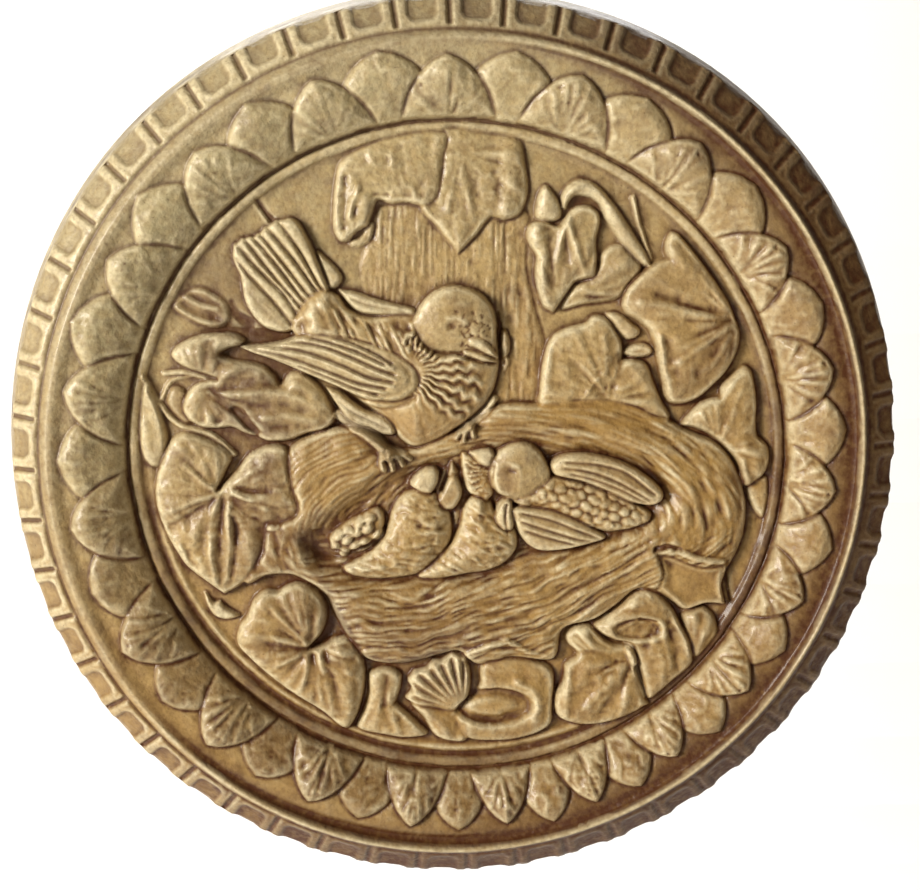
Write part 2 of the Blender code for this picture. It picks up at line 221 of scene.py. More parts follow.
def layForm(
    outline, rise, crown=1.5, spread=7.0, lip=2.2, lean=(0, 0), crease=0.45, onTop=False, ground=False,
    roundness=1.0, rim=0.15, streaks=None, crinkle=0.0, dish=0.0, fan=None, **colours
):
    # Raises a form with a steep soft edge, a swelling top and a fine crease round its foot.
    line = outline if isinstance(outline, np.ndarray) else smoothLine(outline)
    part = window(line, 3.0)
    x, z = gridX[part], gridZ[part]
    depth = insideDistance(line, x, z)
    centre = line.mean(0)
    swell = 1 - (1 - np.clip(depth / spread, 0, 1)) ** 2
    top = rise + lean[0] * (x - centre[0]) + lean[1] * (z - centre[1]) + crown * swell**roundness
    top = plate["relief"] * (top + rim * bump(depth - 1.6, 0.8))
    if dish:
        top = top - dish * smoothStep(1.6, 4.5, depth)
    if crinkle:
        rough = np.abs(cloud(x / 4.5, z / 4.5, 8) - 0.5) + 0.6 * np.abs(cloud(x / 2.2, z / 2.2, 9) - 0.5)
        top = top - 1.1 * crinkle * (rough - 0.35) * smoothStep(0.8, 3.0, depth)
    if fan:
        # Faint ribs spread from the leaf's stalk.
        turn, away = np.arctan2(z - fan[1], x - fan[0]), np.hypot(x - fan[0], z - fan[1])
        ribs = cloud(turn * 4.5, away / 30, 31) + 0.6 * cloud(turn * 10, away / 14, 32) - 0.8
        top = top + 1.5 * ribs * smoothStep(0.8, 3.5, depth) * smoothStep(3, 14, away)
    if streaks:
        angle, across, along, tall = streaks
        top = top + tall * (grain(x, z, angle, across, along) - 0.5) * smoothStep(0.5, 2.5, depth)
    under = height[part]
    share = np.sin(np.clip((depth + 0.35) / (lip * plate["lipSharpness"]), 0, 1) * math.pi / 2)
    if ground:
        target = bodyHeight[part] + top
    else:
        target = under + top if onTop else np.maximum(top, under * 0.25)
    raised = under + (target - under) * share
    # The foot's crease is cut deeper and painted browner on the sides facing away from the lamp: partly glaze
    # gathered in the crease, partly painted shade.
    awayFromLamp = 0.4 + 0.6 * smoothStep(-0.7, 0.5, facingShadeSide(depth))
    foot = awayFromLamp * bump(depth + 0.3, 0.55)
    height[part] = raised - 1.15 * crease * foot
    cover = smoothStep(-0.4, 0.6, depth)
    for name, field in paint.items():
        field[part] += (colours.get(name, 0.0) - field[part]) * cover
    patchy = 0.2 + 1.1 * cloud(x / 8, z / 8, 33)
    paint["umber"][part] += 0.6 * crease * foot * patchy
    return {"part": part, "x": x, "z": z, "depth": depth}


def layStroke(line, width, tall, ends=(1.0, 0.3), form=None, soft=False, **colours):
    # Adds a ridge, or cuts a groove where tall is below zero, along an open line.
    line = line if isinstance(line, np.ndarray) else smoothLine(line, closed=False)
    part = window(line, 3 * width + 0.5)
    gap, along = strokeDistance(line, gridX[part], gridZ[part])
    size = ends[0] + (ends[1] - ends[0]) * along
    if soft:
        shape = bump(gap, width) * size
    else:
        shape = np.sqrt(np.clip(1 - (gap / (width * np.maximum(size, 0.05))) ** 2, 0, 1)) * size
    if form is not None:
        shape = shape * coverIn(form, part)
    height[part] += tall * shape
    for name, value in colours.items():
        paint[name][part] += (value - paint[name][part]) * np.clip(shape, 0, 1)


def overlap(first, second):
    # The area that two windows share, as slices of each; nothing if they don't meet.
    low = [max(a.start, b.start) for a, b in zip(first, second)]
    high = [min(a.stop, b.stop) for a, b in zip(first, second)]
    if low[0] >= high[0] or low[1] >= high[1]:
        return None
    return [
        tuple(slice(start - span.start, stop - span.start) for start, stop, span in zip(low, high, part))
        for part in (first, second)
    ]


def coverIn(form, part):
    # How far a form covers another window, 0 to 1.
    whole = np.zeros_like(gridX[part])
    shared = overlap(part, form["part"])
    if shared:
        whole[shared[0]] = smoothStep(0.3, 2.2, form["depth"])[shared[1]]
    return whole


def layVeins(form, veins, width=0.75, tall=0.6, valley=0.7):
    # A vein is a fine raised rib that lies in a broad shallow valley.
    for vein in veins:
        line = smoothLine(vein, closed=False, perSpan=4)
        layStroke(line, 3.4 * width, -valley, form=form, soft=True)
        layStroke(line, width, tall, form=form, soft=True)


def ringDrift(turn):
    # The mould is a little out of round, which shows in the bead and in the ridge.
    return 1.3 * np.cos(np.radians(2 * (turn - 137))) + 0.9 * np.cos(np.radians(turn - 150))


def ridgeDrift(turn):
    # The ridge wanders a little from its circle.
    return 1.04 * np.cos(np.radians(turn - 217)) + 0.72 * np.cos(np.radians(2 * turn))


def turnBody():
    inner = gridRadius - ringDrift(gridTurn) * smoothStep(100, 131, gridRadius)
    outer = gridRadius - ridgeDrift(gridTurn) * smoothStep(179, 168, gridRadius)
    radius = inner + (outer - inner) * smoothStep(140, 160, gridRadius)
    bead, ridge = plate["beadRadius"], plate["ridgeRadius"]
    cups, edge = plate["cupZoneRadius"], plate["radius"]
    crest, low = plate["ridgeHeight"], plate["edgeHeight"]
    knots = [
        (0, 0.0), (bead - 5.2, 0.0), (bead - 2.0, 0.9), (bead + 2.2, 1.2), (bead + 3.4, plate["bandInner"]),
        (146, 7.4), (151, 9.8), (155, 10.9), (159.5, 11.1), (162.2, 11.0), (163.4, 12.2),
        (ridge - 0.4, crest - 0.1), (ridge + 0.6, crest - 0.1), (ridge + 2.6, crest - 1.5),
        (cups - 1.5, plate["cupZoneHeight"] + 0.5), (cups, plate["cupZoneHeight"]), (edge - 1.2, low + 0.5),
        (edge, low - 0.8), (190, low - 4),
    ]
    height[:] = np.interp(radius, *zip(*knots))
    # At the upper left the ridge is low and smooth; elsewhere a fine roll stands on it.
    smooth = sector(292, -0.15, 0.6)
    beyond = radius - (ridge + 0.6)
    height[:] -= 2.0 * smooth * bump(beyond, 3.2)
    height[:] += 2.4 * smooth * bump(beyond + 3.2, 2.2)
    roll = np.sqrt(np.clip(1 - (beyond / 1.2) ** 2, 0, 1))
    height[:] += (1.0 * roll - 0.9 * bump(beyond + 2.3, 0.7)) * (1 - smooth)
    gap = (radius - bead) / plate["beadHalfWidth"]
    foot = np.clip(np.cos(np.radians(gridTurn - 195)) * 1.6, 0, 1)
    height[:] += (plate["beadHeight"] - 1.0 - 0.5 * foot) * np.sqrt(np.clip(1 - gap**2, 0, 1))
    # A second, softer line runs inside the bead towards the foot of the plate.
    height[:] += 1.3 * foot * bump(radius - bead + 6.2, 1.5)
    height[:] -= 0.5 * bump(radius - bead - 2.9, 0.8)
    stainAndShadeBody(radius, smooth)
    bodyHeight[:] = height
    print("turned body drawn")


def stainAndShadeBody(radius, smooth):
    # Painted shade darkens the rim, the band and the bead towards the right, away from the lamp; brown also
    # deepens towards the foot of the plate.
    umber, bead, crest = paint["umber"], plate["beadRadius"], plate["ridgeRadius"] + 0.6
    beyond = radius - crest
    darkening, gutter, right = sector(110, -0.75, 0.35), sector(160, -0.6, 0.3), sector(85, 0.0, 0.8)
    paint["green"][:] = 0.22
    # A pale crest, fainter at the right away from the lamp, and a painted highlight on the band's outer part
    # towards the lamp.
    paint["pale"][:] = 0.35 * (1 - 0.7 * smooth) * (1 - 0.6 * right) * bump(beyond, 0.8)
    paint["pale"] += 0.22 * sector(320, 0.1, 0.9) * smoothStep(146, 153, radius)
    # Painted shade darkens the rim beyond the crest towards the right.
    umber[:] = (0.08 + 0.72 * darkening) * smoothStep(crest + 0.9 - 0.8 * darkening, crest + 2.2 - darkening, radius)
    umber += (0.05 + 0.8 * gutter) * (1 - smooth) * (bump(beyond + 2.4, 1.0) + 0.8 * bump(beyond + 3.6, 2.6))
    # At the right brown glaze and painted shade close in on the crest from both sides.
    umber += 0.6 * right * bump(np.abs(beyond) - 1.9, 1.0)
    umber += 0.42 * sector(314, -0.1, 0.7) * bump(beyond + 1.2, 3.6)
    # A thin dark line parts the ridge from the cups where the ridge is smooth.
    line = smooth * bump(beyond - 2.4, 0.8)
    height[:] -= 0.6 * line
    umber += 0.35 * line
    # The band's outer part is painted deep brown at the right, as shade away from the lamp, out to the ridge.
    shade = sector(105, -0.25, 0.75) * smoothStep(147, 155, radius)
    shade *= smoothStep(crest - 0.6, crest - 1.8, radius)
    umber += 0.74 * shade * (0.7 + 0.5 * cloud(gridTurn / 4, radius / 6, 51))
    # The bead is browner towards the foot and painted darker at the right, as shade.
    beadDarkening = gutter * (0.35 + 0.6 * cloud(gridTurn / 6, radius / 5, 34)) + 0.5 * sector(112, 0.7, 0.97)
    umber += (0.08 + 0.75 * beadDarkening) * np.exp(-(((radius - bead - 0.5) / 4.2) ** 4))
    # Towards the lower left the ridge and the bead both stand beside a deep furrow, painted brown partly as
    # gathered glaze and partly as painted shade.
    for place, width, deep, low, brown in (
        (crest - 3.2, 2.0, 1.0, 0.75, 0.45),
        (bead - 3.4, 1.3, 0.8, 0.35, 0.7),
    ):
        line = sector(205, low, 0.97) * bump(radius - place, width)
        height[:] -= deep * line
        umber += brown * line


def cupDistance(x, z):
    # Distance inside the nearest rim cup, and distance from the nearest slot between two cups.
    radius, turn = np.hypot(x, z), np.degrees(np.arctan2(x, z)) % 360
    pitch = 360 / plate["cups"]
    place = ((turn - plate["firstSlot"]) / pitch) % 1
    step = math.radians(pitch) * radius
    corner = plate["cupCorner"]
    sideways = np.abs(place - 0.5) * step - plate["cupHalfWidth"] + corner
    inward = corner - (radius - plate["cupEnd"])
    outside = np.hypot(np.maximum(sideways, 0), np.maximum(inward, 0))
    return corner - outside - np.minimum(np.maximum(sideways, inward), 0), (0.5 - np.abs(place - 0.5)) * step


def cutRim():
    depth, toSlot = cupDistance(gridX, gridZ)
    zone = smoothStep(169.2, 170.2, gridRadius)
    slot = smoothStep(1.5, 0.6, toSlot) * smoothStep(169.4, 170.6, gridRadius)
    thick = 1 - 0.6 * sector(120, -0.4, 0.5)
    height[:] -= 1.5 * slot * thick
    height[:] += 0.35 * bump(toSlot - 2.1, 0.8) * zone
    height[:] -= smoothStep(-0.3, 1.2, depth) * plate["cupDepth"] * zone * thick
    height[:] += 0.4 * bump(depth + 0.9, 0.9) * zone * (1 - slot)
    # Slots and cup floors are painted darker, partly glaze gathered in them and partly painted shade, and the
    # cups more so towards the lower right, away from the lamp.
    paint["umber"][:] += 0.3 * slot + 0.1 * smoothStep(0.0, 2.0, depth) * zone
    paint["umber"][:] += 0.13 * zone * sector(150, 0.3, 0.9)
    bodyHeight[:] = height
    print("rim cut")


def leafTurn(index):
    # Border leaves crowd towards the foot of the plate.
    even = math.tau * index / plate["leaves"]
    drift = -3.4 + 8.2 * math.sin(even + 0.35) + 2.25 * math.sin(2 * even - 2.6)
    return even + math.radians(drift)


def placed(points, turn, start):
    # Turns points drawn upright at the top of the plate to their place, clockwise.
    points = np.array(points, float) + (0, start)
    c, s = math.cos(turn), math.sin(turn)
    return np.column_stack((points[:, 0] * c + points[:, 1] * s, points[:, 1] * c - points[:, 0] * s))


def leafOutline(halfWidth, length, big, taper, steps=14):
    # A broad leaf is widest at its foot; the small one behind it narrows towards its foot.
    side = []
    for step in range(steps + 1):
        share = step / steps
        if big:
            width = (1 - share**1.9) ** taper
        else:
            width = (1 - share**2.6) ** taper * (0.66 + 0.5 * min(share / 0.5, 1))
        side.append((halfWidth * width, length * share))
    return [(-x, y) for x, y in side[:-1]] + side[::-1]


def layBorderLeaves():
    random = np.random.default_rng(11)
    turns = [leafTurn(i) for i in range(-1, plate["leaves"] + 1)]
    for big in (False, True):
        for last, turn, following in zip(turns, turns[1:], turns[2:]):
            layBorderLeaf(random, big, last, turn, following)
    print("border leaves laid")


def layBorderLeaf(random, big, last, turn, following):
    # A large leaf stands at its turn; a small one stands behind, halfway to the following leaf.
    stand = turn if big else (turn + following) / 2
    degrees = math.degrees(stand) % 360
    start = plate["beadRadius"] + float(ringDrift(degrees)) + 3.0

    def near(angle, low, high):
        return float(smoothStep(low, high, math.cos(math.radians(degrees - angle))))

    def put(points):
        return placed(points, stand, start)

    leftness = 0.5 - 0.5 * math.sin(math.radians(degrees + 15))
    lowLeft, lowRight, foot = near(222, 0.55, 0.95), near(150, 0.2, 0.9), near(185, 0.5, 0.95)
    tip = plate["leafTipRadius"] + 1.2 * math.cos(math.radians(degrees - 320)) + random.uniform(-0.7, 0.7)
    tip += min(1.9 * float(ridgeDrift(degrees)), 1.3)
    if big:
        length = tip - start
        size = plate["leafHalfWidth"] * (following - last) / 2 * 137 * (1 - 0.06 * foot)
    else:
        length = (tip + 3.0 - start) * (1 - 0.12 * lowLeft)
        size = plate["smallLeafHalfWidth"] * (following - turn) * 150 * (1 - 0.14 * foot)
    size *= random.uniform(0.96, 1.04)
    taper = 0.66 + 0.14 * lowRight + random.uniform(-0.03, 0.05)
    sizes = (1.5, 4.2, 8.5, 2.0) if big else (1.0, 3.2 - 1.4 * lowLeft, 8.0, 2.0)
    # Leaves are browner at the lower left, and painted darker towards the lower right as shade away from the
    # lamp.
    form = layForm(
        put(leafOutline(size, length, big, taper)), *sizes, ground=True, green=0.15 + 0.45 * leftness,
        crease=0.6, rim=0.4 if big else 0.1, crinkle=1.0 + 0.5 * foot,
        umber=0.05 + 0.3 * lowLeft + 0.1 * math.cos(math.radians(degrees - 125)) + random.uniform(0, 0.2),
    )
    # Their left edges, facing the lamp, carry a painted highlight.
    edge = [(-0.9 * size, 0.12 * length), (-0.8 * size, 0.5 * length), (-0.45 * size, 0.82 * length)]
    layStroke(put(edge), 1.6, 0.2, (0.8, 0.8), form, True, pale=0.25 + 0.4 * lowLeft)
    if not big:
        return
    flute = 0.4 + 0.45 * float(smoothStep(5, 60, degrees) * smoothStep(268, 235, degrees))
    layFlutes(random, form, put, size, length, flute)
    for _ in range(int(6 * leftness + 2)):
        spot = put([(random.uniform(-0.6, 0.6) * size, random.uniform(0.45, 0.92) * length)])
        line = np.vstack((spot, spot + random.uniform(-0.5, 0.5, 2)))
        layStroke(line, 0.45, -0.3, (1, 0.8), form, umber=0.8)
    # At the right a dark pit marks each large leaf near its tip.
    if 35 < degrees < 150:
        spot = put([(random.uniform(-0.2, 0.2) * size, 0.8 * length)])
        layStroke(np.vstack((spot, spot + (0.4, -0.9))), 0.8, -0.9, (1, 0.7), form, umber=0.9)


def layFlutes(random, form, put, size, length, flute):
    # Ribs, and grooves between them, spread from a large border leaf's foot.
    ribs = [((0, 0), (random.uniform(-0.5, 0.5), 0.4 * length), (0, 0.8 * length))]
    for side in (-1, 1):
        for lean, far in ((0.30, 0.76), (0.62, 0.62), (0.92, 0.40)):
            middle = (side * lean * size * 0.5, 0.55 * far * length)
            ribs.append(((side * 0.22 * lean * size, 0), middle, (side * lean * size * 0.86, far * length)))
    for rib in ribs:
        bent = [(x + random.uniform(-0.9, 0.9), y + random.uniform(-0.7, 0.7)) for x, y in rib]
        line = smoothLine(put(bent).tolist(), closed=False, perSpan=4)
        tall = random.uniform(0.6, 1.15) * flute + 0.1
        layStroke(line, random.uniform(0.9, 1.3), tall, (1, 0.6), form, True, pale=0.15 * flute)
    for side in (-1, 1):
        for lean, far in ((0.15, 0.7), (0.46, 0.62), (0.78, 0.45)):
            lean, far = lean + random.uniform(-0.08, 0.08), far + random.uniform(-0.16, 0.12)
            middle = (side * lean * size * random.uniform(0.3, 0.6), 0.5 * far * length)
            line = [(side * 0.1 * lean * size, 1), middle, (side * lean * size * 0.85, far * length)]
            line = smoothLine(put(line).tolist(), closed=False, perSpan=4)
            deep = random.uniform(0.5, 1.15) * flute + 0.1
            layStroke(line, random.uniform(0.7, 1.0), -deep, (1, 0.5), form, True, umber=0.3 * deep)


foliageBehind = {
    "trunk": {
        "rise": 0.5, "crown": 0.6, "spread": 14, "lip": 3.0, "crease": 0.4, "streaks": (89, 0.7, 7, 0.8),
        "rim": 0, "crinkle": 0.6,
        "outline": [
            (-32, 100), (-35, 94), (-37, 87), (-39.5, 78), (-38.5, 68), (-34, 58), (-10, 40), (0, 12),
            (33, 18), (35, 45), (31, 60), (27, 78), (27, 99), (0, 108),
        ],
        "veins": [[(15, 97), (16, 80), (19, 60), (21, 40), (23, 24)]],
        "folds": [
            ([(18.5, 96), (19.5, 72), (22, 45)], 1.0, -0.4), ([(25, 92), (25, 70), (27, 40)], 1.3, -0.35),
            ([(28, 60), (28, 40), (27, 26)], 2.0, 0.5), ([(-36, 86), (-35, 76), (-33, 66)], 1.6, 0.4),
        ],
    },
    "pointedLeaf": {
        "rise": 2.2, "crown": 1.9, "spread": 8, "green": 0.18, "crinkle": 1.1, "lean": (0.0, -0.05),
        "fan": (0, 122),
        "outline": [
            (-16, 102), (-8, 91.5), (0, 82, 1), (7, 89), (13, 96), (19, 95), (25, 98), (28, 107),
            (26.5, 119), (24, 127), (8, 130), (-6, 131), (-10, 112),
        ],
        "veins": [[(0, 84), (-1.5, 95), (-1, 106), (2, 117)]],
        "folds": [
            ([(19, 98), (21, 110), (21, 124)], 4.5, 1.6), ([(15, 98), (15, 112), (13, 124)], 2.2, -1.0),
            ([(12, 113), (15, 110), (17, 107)], 0.9, 0.7), ([(5, 90), (7, 102), (6, 116)], 2.5, -0.5),
            ([(-14, 100), (-8, 92), (-1, 84)], 1.1, 0.7), ([(-9, 101), (-5, 96), (-2, 90)], 1.6, -0.6),
        ],
    },
    "hangingLeaf": {
        "rise": 3.0, "crown": 1.7, "spread": 6, "lean": (0.035, -0.08), "green": 0.2, "crinkle": 1.3,
        "outline": [
            (-47, 118), (-49, 110), (-50, 101), (-50, 92), (-47.5, 87), (-44, 87), (-40.5, 90.5),
            (-36.5, 93), (-34, 98), (-32, 103), (-27, 101.5), (-21, 102), (-14, 101), (-9, 104), (-7, 111),
            (-6, 120), (-5, 129), (-16, 130), (-30, 127), (-40, 123),
        ],
        "veins": [[(-45, 89), (-41.5, 95), (-38.5, 102), (-35, 106)]],
        "folds": [
            ([(-48.6, 113), (-48.8, 102), (-48.6, 93)], 1.5, 1.5),
            ([(-44.8, 112), (-44.8, 103), (-45.4, 93)], 1.3, -1.7),
            ([(-39.5, 108), (-42, 102), (-43.4, 96)], 1.1, 1.3), ([(-40.6, 100), (-41.4, 94)], 1.0, -1.1),
            ([(-37.5, 104), (-37, 99), (-39, 94)], 2.0, 1.0),
            ([(-51, 93), (-48, 91), (-45.5, 92)], 0.7, -1.0),
            ([(-33, 105), (-26, 104.8), (-19, 104.6)], 1.2, -0.8),
            ([(-27, 122), (-26, 115), (-25, 109)], 0.8, 0.6),
            ([(-22.5, 124), (-21.8, 116), (-20.5, 110)], 0.9, -0.6),
            ([(-36, 121), (-33, 117), (-30, 118)], 1.0, 0.5),
            ([(-12, 126), (-12.5, 114), (-16, 107)], 1.6, -0.4),
        ],
    },
    "bud": {
        "rise": 2.4, "crown": 2.6, "spread": 5, "green": 0.3, "pale": 0.2,
        "outline": [(31, 96), (31, 102), (32.5, 107), (35, 109), (38, 106), (41, 101), (41, 96), (36, 94)],
    },
    "roundLeaf": {
        "rise": 2.0, "crown": 2.2, "spread": 9, "green": 0.3, "lean": (0.02, 0.05), "crinkle": 0.7,
        "fan": (50, 66),
        "outline": [
            (56.5, 77), (57.5, 81.5), (61, 85), (65.5, 85.8), (70.5, 83.8), (74, 79), (73.5, 74), (69, 69),
            (65, 63.5), (58, 62), (50, 61), (42, 59.5), (46, 68), (52, 72),
        ],
        "folds": [
            ([(44, 62), (50, 65), (57, 64), (63, 65)], 1.3, -1.1),
            ([(50, 68), (55, 66), (60, 67)], 1.2, 0.7), ([(46, 60.5), (53, 62), (60, 62)], 0.9, 0.6),
        ],
    },
    "ribbonStem": {
        "rise": 2.0, "crown": 2.6, "spread": 4.5, "lip": 1.8, "green": 0.3, "pale": 0.15,
        "outline": [
            (41, 100, 1), (41, 105), (44, 109.5), (49, 111.5), (55, 109.5), (61, 103.5), (67, 95.5),
            (72, 88), (76, 82), (78, 76.5), (74, 77), (68, 82), (63, 89), (59, 95), (56, 101), (52, 104),
            (47, 104.5), (44.5, 102.5), (43, 99, 1),
        ],
        "folds": [([(45, 107), (50, 109.5), (56, 106), (63, 97), (70, 87)], 1.3, 0.8)],
    },
    "smallIvyLeaf": {
        "rise": 3.4, "crown": 1.6, "spread": 5, "green": 0.25, "crinkle": 0.5, "fan": (40, 62),
        "outline": [
            (27, 89), (28, 93), (32, 95), (36, 94.5), (40, 93), (43, 97), (47, 100.5), (52, 101),
            (56, 98.5), (57, 94), (55.5, 87), (56, 80), (55, 73), (50, 71), (47, 70), (43, 64.5),
            (38.5, 58, 1), (34, 61), (31.5, 68), (30.5, 75), (31, 81), (28.5, 85),
        ],
        "folds": [
            ([(31, 92), (30.5, 87), (32, 83)], 2.0, 1.2), ([(33.5, 80), (33, 72), (35, 62)], 1.9, 1.4),
            ([(31.5, 83.5), (34, 82)], 1.0, -0.9), ([(37, 92), (37.5, 83), (38, 70)], 2.2, -2.0),
            ([(43.5, 95), (46.2, 86), (51, 73)], 1.4, 1.9), ([(42.5, 94), (41, 87), (39.2, 79)], 0.9, 1.2),
            ([(31, 88), (36, 90), (40, 94)], 1.2, 0.8), ([(43.5, 84), (44.5, 76), (43, 70)], 1.6, -1.0),
            ([(51.5, 84), (52.5, 75)], 1.2, 0.4),
        ],
    },
    "upperStub": {
        "rise": 2.0, "crown": 2.0, "spread": 3.5, "lip": 1.4, "pale": 0.12,
        "outline": [
            (60, 57.5), (64, 58), (67.5, 56.5), (71, 53.5), (74, 51), (73, 48.2), (69, 47), (65, 50),
            (62, 54),
        ],
    },
    "lowerStub": {
        "rise": 2.0, "crown": 1.5, "spread": 2.5, "lip": 1.3, "pale": 0.12,
        "outline": [(67, 41.5), (69, 44), (74, 45.5), (78, 44.5), (79.5, 42), (77, 40), (72, 39.5)],
        "folds": [([(69, 42), (74, 42.5), (78, 42)], 0.8, -0.6)],
    },
    "fanLeaf": {
        "rise": 4.0, "crown": 2.6, "spread": 9, "lean": (-0.01, 0.0), "umber": 0.12, "green": 0.05,
        "crinkle": 0.8, "fan": (112, 55),
        "outline": [
            (85, 90), (83, 85), (84, 80, 1), (78, 77.5), (73, 73.5), (68, 68), (66, 62), (68, 57.5),
            (73, 54.5), (77, 51), (79.5, 45), (81, 38), (83, 30), (84.5, 24), (87, 21), (92, 20.5),
            (98, 22.5), (104, 27.5), (110, 34), (114, 42), (115, 49), (113.5, 54), (110, 62), (104, 71),
            (98, 79), (92, 86), (88, 90),
        ],
        "folds": [
            ([(113, 55), (103, 58), (92, 61.5), (80, 66)], 2.6, -2.6),
            ([(112, 56), (98, 57.5), (84, 61), (73, 62)], 1.5, 1.2),
            ([(110, 54), (98, 50), (87, 52)], 3.0, -1.3), ([(111, 53), (100, 46), (87, 36)], 1.6, 1.3),
            ([(110, 50), (104, 42), (97, 34)], 2.2, -1.2), ([(110, 49), (106.5, 42), (101, 35)], 1.2, 0.9),
            ([(81.5, 48), (83, 38), (85.5, 27)], 1.7, 1.6), ([(85, 46), (87, 38), (89, 30)], 2.0, -1.1),
            ([(108, 60), (101, 68), (92, 76)], 3.0, 0.9), ([(104, 58), (94, 66), (84, 74)], 2.2, -0.6),
            ([(84, 88), (83.6, 82)], 1.1, 1.4),
        ],
    },
    "ivyLeaf": {
        "rise": 3.6, "crown": 2.2, "spread": 7, "green": 0.22, "crinkle": 0.7, "lean": (0, 0.01),
        "fan": (61, 23),
        "outline": [
            (33, 18), (33, 28), (34, 38), (36, 45), (39, 49.5), (45, 52.5), (51, 54), (55, 57), (60, 56),
            (64, 51), (66.5, 46), (67, 39.5, 1), (72, 39.5), (77, 37), (79.5, 31), (83, 23), (87, 14),
            (76, 12), (60, 12), (44, 13),
        ],
        "veins": [
            [(61, 24), (54, 33), (45, 41)], [(58, 26), (68, 28), (76, 31)], [(61, 25), (62, 37), (59, 48)],
        ],
        "folds": [
            ([(35.5, 44), (35, 34), (35, 22)], 1.9, 1.0), ([(39, 44), (39.5, 34), (40, 24)], 2.4, -0.8),
            ([(66, 41), (65, 34), (63, 27)], 1.4, -1.6), ([(52, 25), (55, 30), (59, 34)], 0.9, 0.9),
            ([(43, 43), (52, 41), (60, 42)], 1.5, -0.7), ([(70, 37), (74, 32), (78, 24)], 2.2, 1.0),
            ([(48, 24), (50, 32), (47, 38)], 2.2, -0.7),
        ],
    },
    "rightLeaf": {
        "rise": 3.6, "crown": 2.2, "spread": 7, "green": 0.2, "lean": (-0.01, 0), "crinkle": 0.6,
        "fan": (107, 2),
        "outline": [
            (92, 12), (95, 17), (99, 21), (104, 23), (107, 23.5, 1), (108, 28), (112, 32.5), (117, 36),
            (120, 34.5), (122, 28), (123, 20), (123, 13), (124, 7), (128, 3), (129, -3), (127, -9),
            (122, -14), (118, -14), (116, -10), (115, -4), (110, 2), (103, 8), (97, 10.5),
        ],
        "veins": [[(107, 3), (111, 14), (116, 27)], [(107, 5), (107, 12), (109, 18)]],
        "folds": [
            ([(110, 26), (113, 31), (117, 33)], 1.5, 0.9), ([(106, 8), (100, 13), (96, 15)], 1.6, -0.8),
            ([(112, 6), (118, 10), (121, 17)], 2.0, -0.9), ([(117, -3), (118.5, -9), (120, -12)], 1.3, 1.4),
            ([(118, 3), (123, -2), (124, -8)], 2.2, 0.9), ([(110, 13), (113, 20), (117, 24)], 1.5, -0.7),
        ],
    },
    "rightLowLeaf": {
        "rise": 1.6, "crown": 0.8, "spread": 6,
        "outline": [(120, -14), (128, -10), (129, -20), (127, -28), (122, -22)],
    },
    "upperLeftLeaf": {
        "rise": 0.8, "crown": 0.5, "spread": 6, "lip": 3.0, "crease": 0.25, "rim": 0.3, "crinkle": 0.8,
        "umber": 0.15,
        "outline": [
            (-114.7, 60.7), (-109.4, 56.4), (-102, 52.8), (-95.5, 52), (-92, 55.5), (-92.8, 62),
            (-98, 66.5), (-104, 69), (-110.5, 66),
        ],
        "folds": [
            ([(-113, 60.5), (-108.5, 57.2), (-102, 54.4), (-95, 54)], 1.2, 1.0),
            ([(-110.5, 62.5), (-105, 59), (-98, 57.6)], 1.7, -1.3),
            ([(-107, 66), (-102, 63), (-96, 62)], 1.3, -1.0),
            ([(-109, 64.5), (-103, 61.5), (-97, 60)], 1.0, 0.8),
            ([(-106, 68), (-101, 66.5), (-96, 65)], 1.1, 0.6),
        ],
    },
    "sliverLeaf": {
        "rise": 2.2, "crown": 1.8, "spread": 5, "green": 0.3, "pale": 0.15,
        "outline": [
            (-126.5, 33, 1), (-122, 24), (-119.5, 15), (-118, 8), (-119.5, 0), (-123, -4.5), (-128, -1),
            (-129.5, 8), (-129, 18), (-128, 26),
        ],
        "folds": [
            ([(-126, 28), (-121.5, 16), (-120.5, 5)], 1.1, 0.9),
            ([(-127, 20), (-124, 10), (-124, 1)], 1.3, -0.6),
        ],
    },
    "smallBrownLeaf": {
        "rise": 1.6, "crown": 0.7, "spread": 4, "umber": 0.4,
        "outline": [(-110.5, 27), (-110, 21), (-107, 14.5), (-112, 14), (-118, 22), (-117, 27), (-114, 29)],
    },
    "oakLeaf": {
        "rise": 3.8, "crown": 2.2, "spread": 7, "green": 0.22, "umber": 0.06, "crinkle": 0.9,
        "fan": (-103, 27),
        "outline": [
            (-98, 32, 1), (-103, 34), (-109, 36), (-114, 39), (-115.5, 42.5), (-112, 46.5), (-105, 49.5),
            (-98, 50.5), (-91, 50.5), (-86, 48), (-88, 45.5), (-93, 44), (-95.5, 42), (-91, 40), (-84, 39),
            (-78, 37), (-74, 33), (-72, 30), (-69, 34), (-64, 35), (-59, 32), (-54, 25.5), (-50.5, 18),
            (-50.5, 14), (-55, 10.5), (-62, 9), (-69, 6.5), (-77, 6), (-82, 8), (-87, 9.5), (-92, 12),
            (-98, 11.5), (-104, 12), (-109, 15), (-111.5, 20), (-110, 26), (-105, 30.5),
        ],
        "veins": [[(-101, 27), (-94, 22), (-86, 17), (-78, 10)]],
        "folds": [
            ([(-97, 30), (-92, 35), (-84, 38)], 1.6, 0.8), ([(-95, 28), (-90, 31), (-83, 32)], 2.0, -1.0),
            ([(-88, 26), (-76, 27), (-64, 24), (-57, 20)], 1.5, 1.2),
            ([(-84, 21), (-74, 22), (-63, 19)], 1.8, -1.2), ([(-79, 16), (-70, 17), (-58, 15)], 1.4, 1.0),
            ([(-75, 12), (-67, 13), (-61, 12)], 1.9, -1.4),
            ([(-104, 16), (-103, 23), (-99, 28)], 2.2, -0.9), ([(-97, 14), (-95, 20)], 1.6, -0.8),
            ([(-66, 30), (-60, 27), (-55, 21)], 1.5, 0.8), ([(-109, 40), (-101, 45), (-93, 47)], 2.4, 0.6),
        ],
    },
}
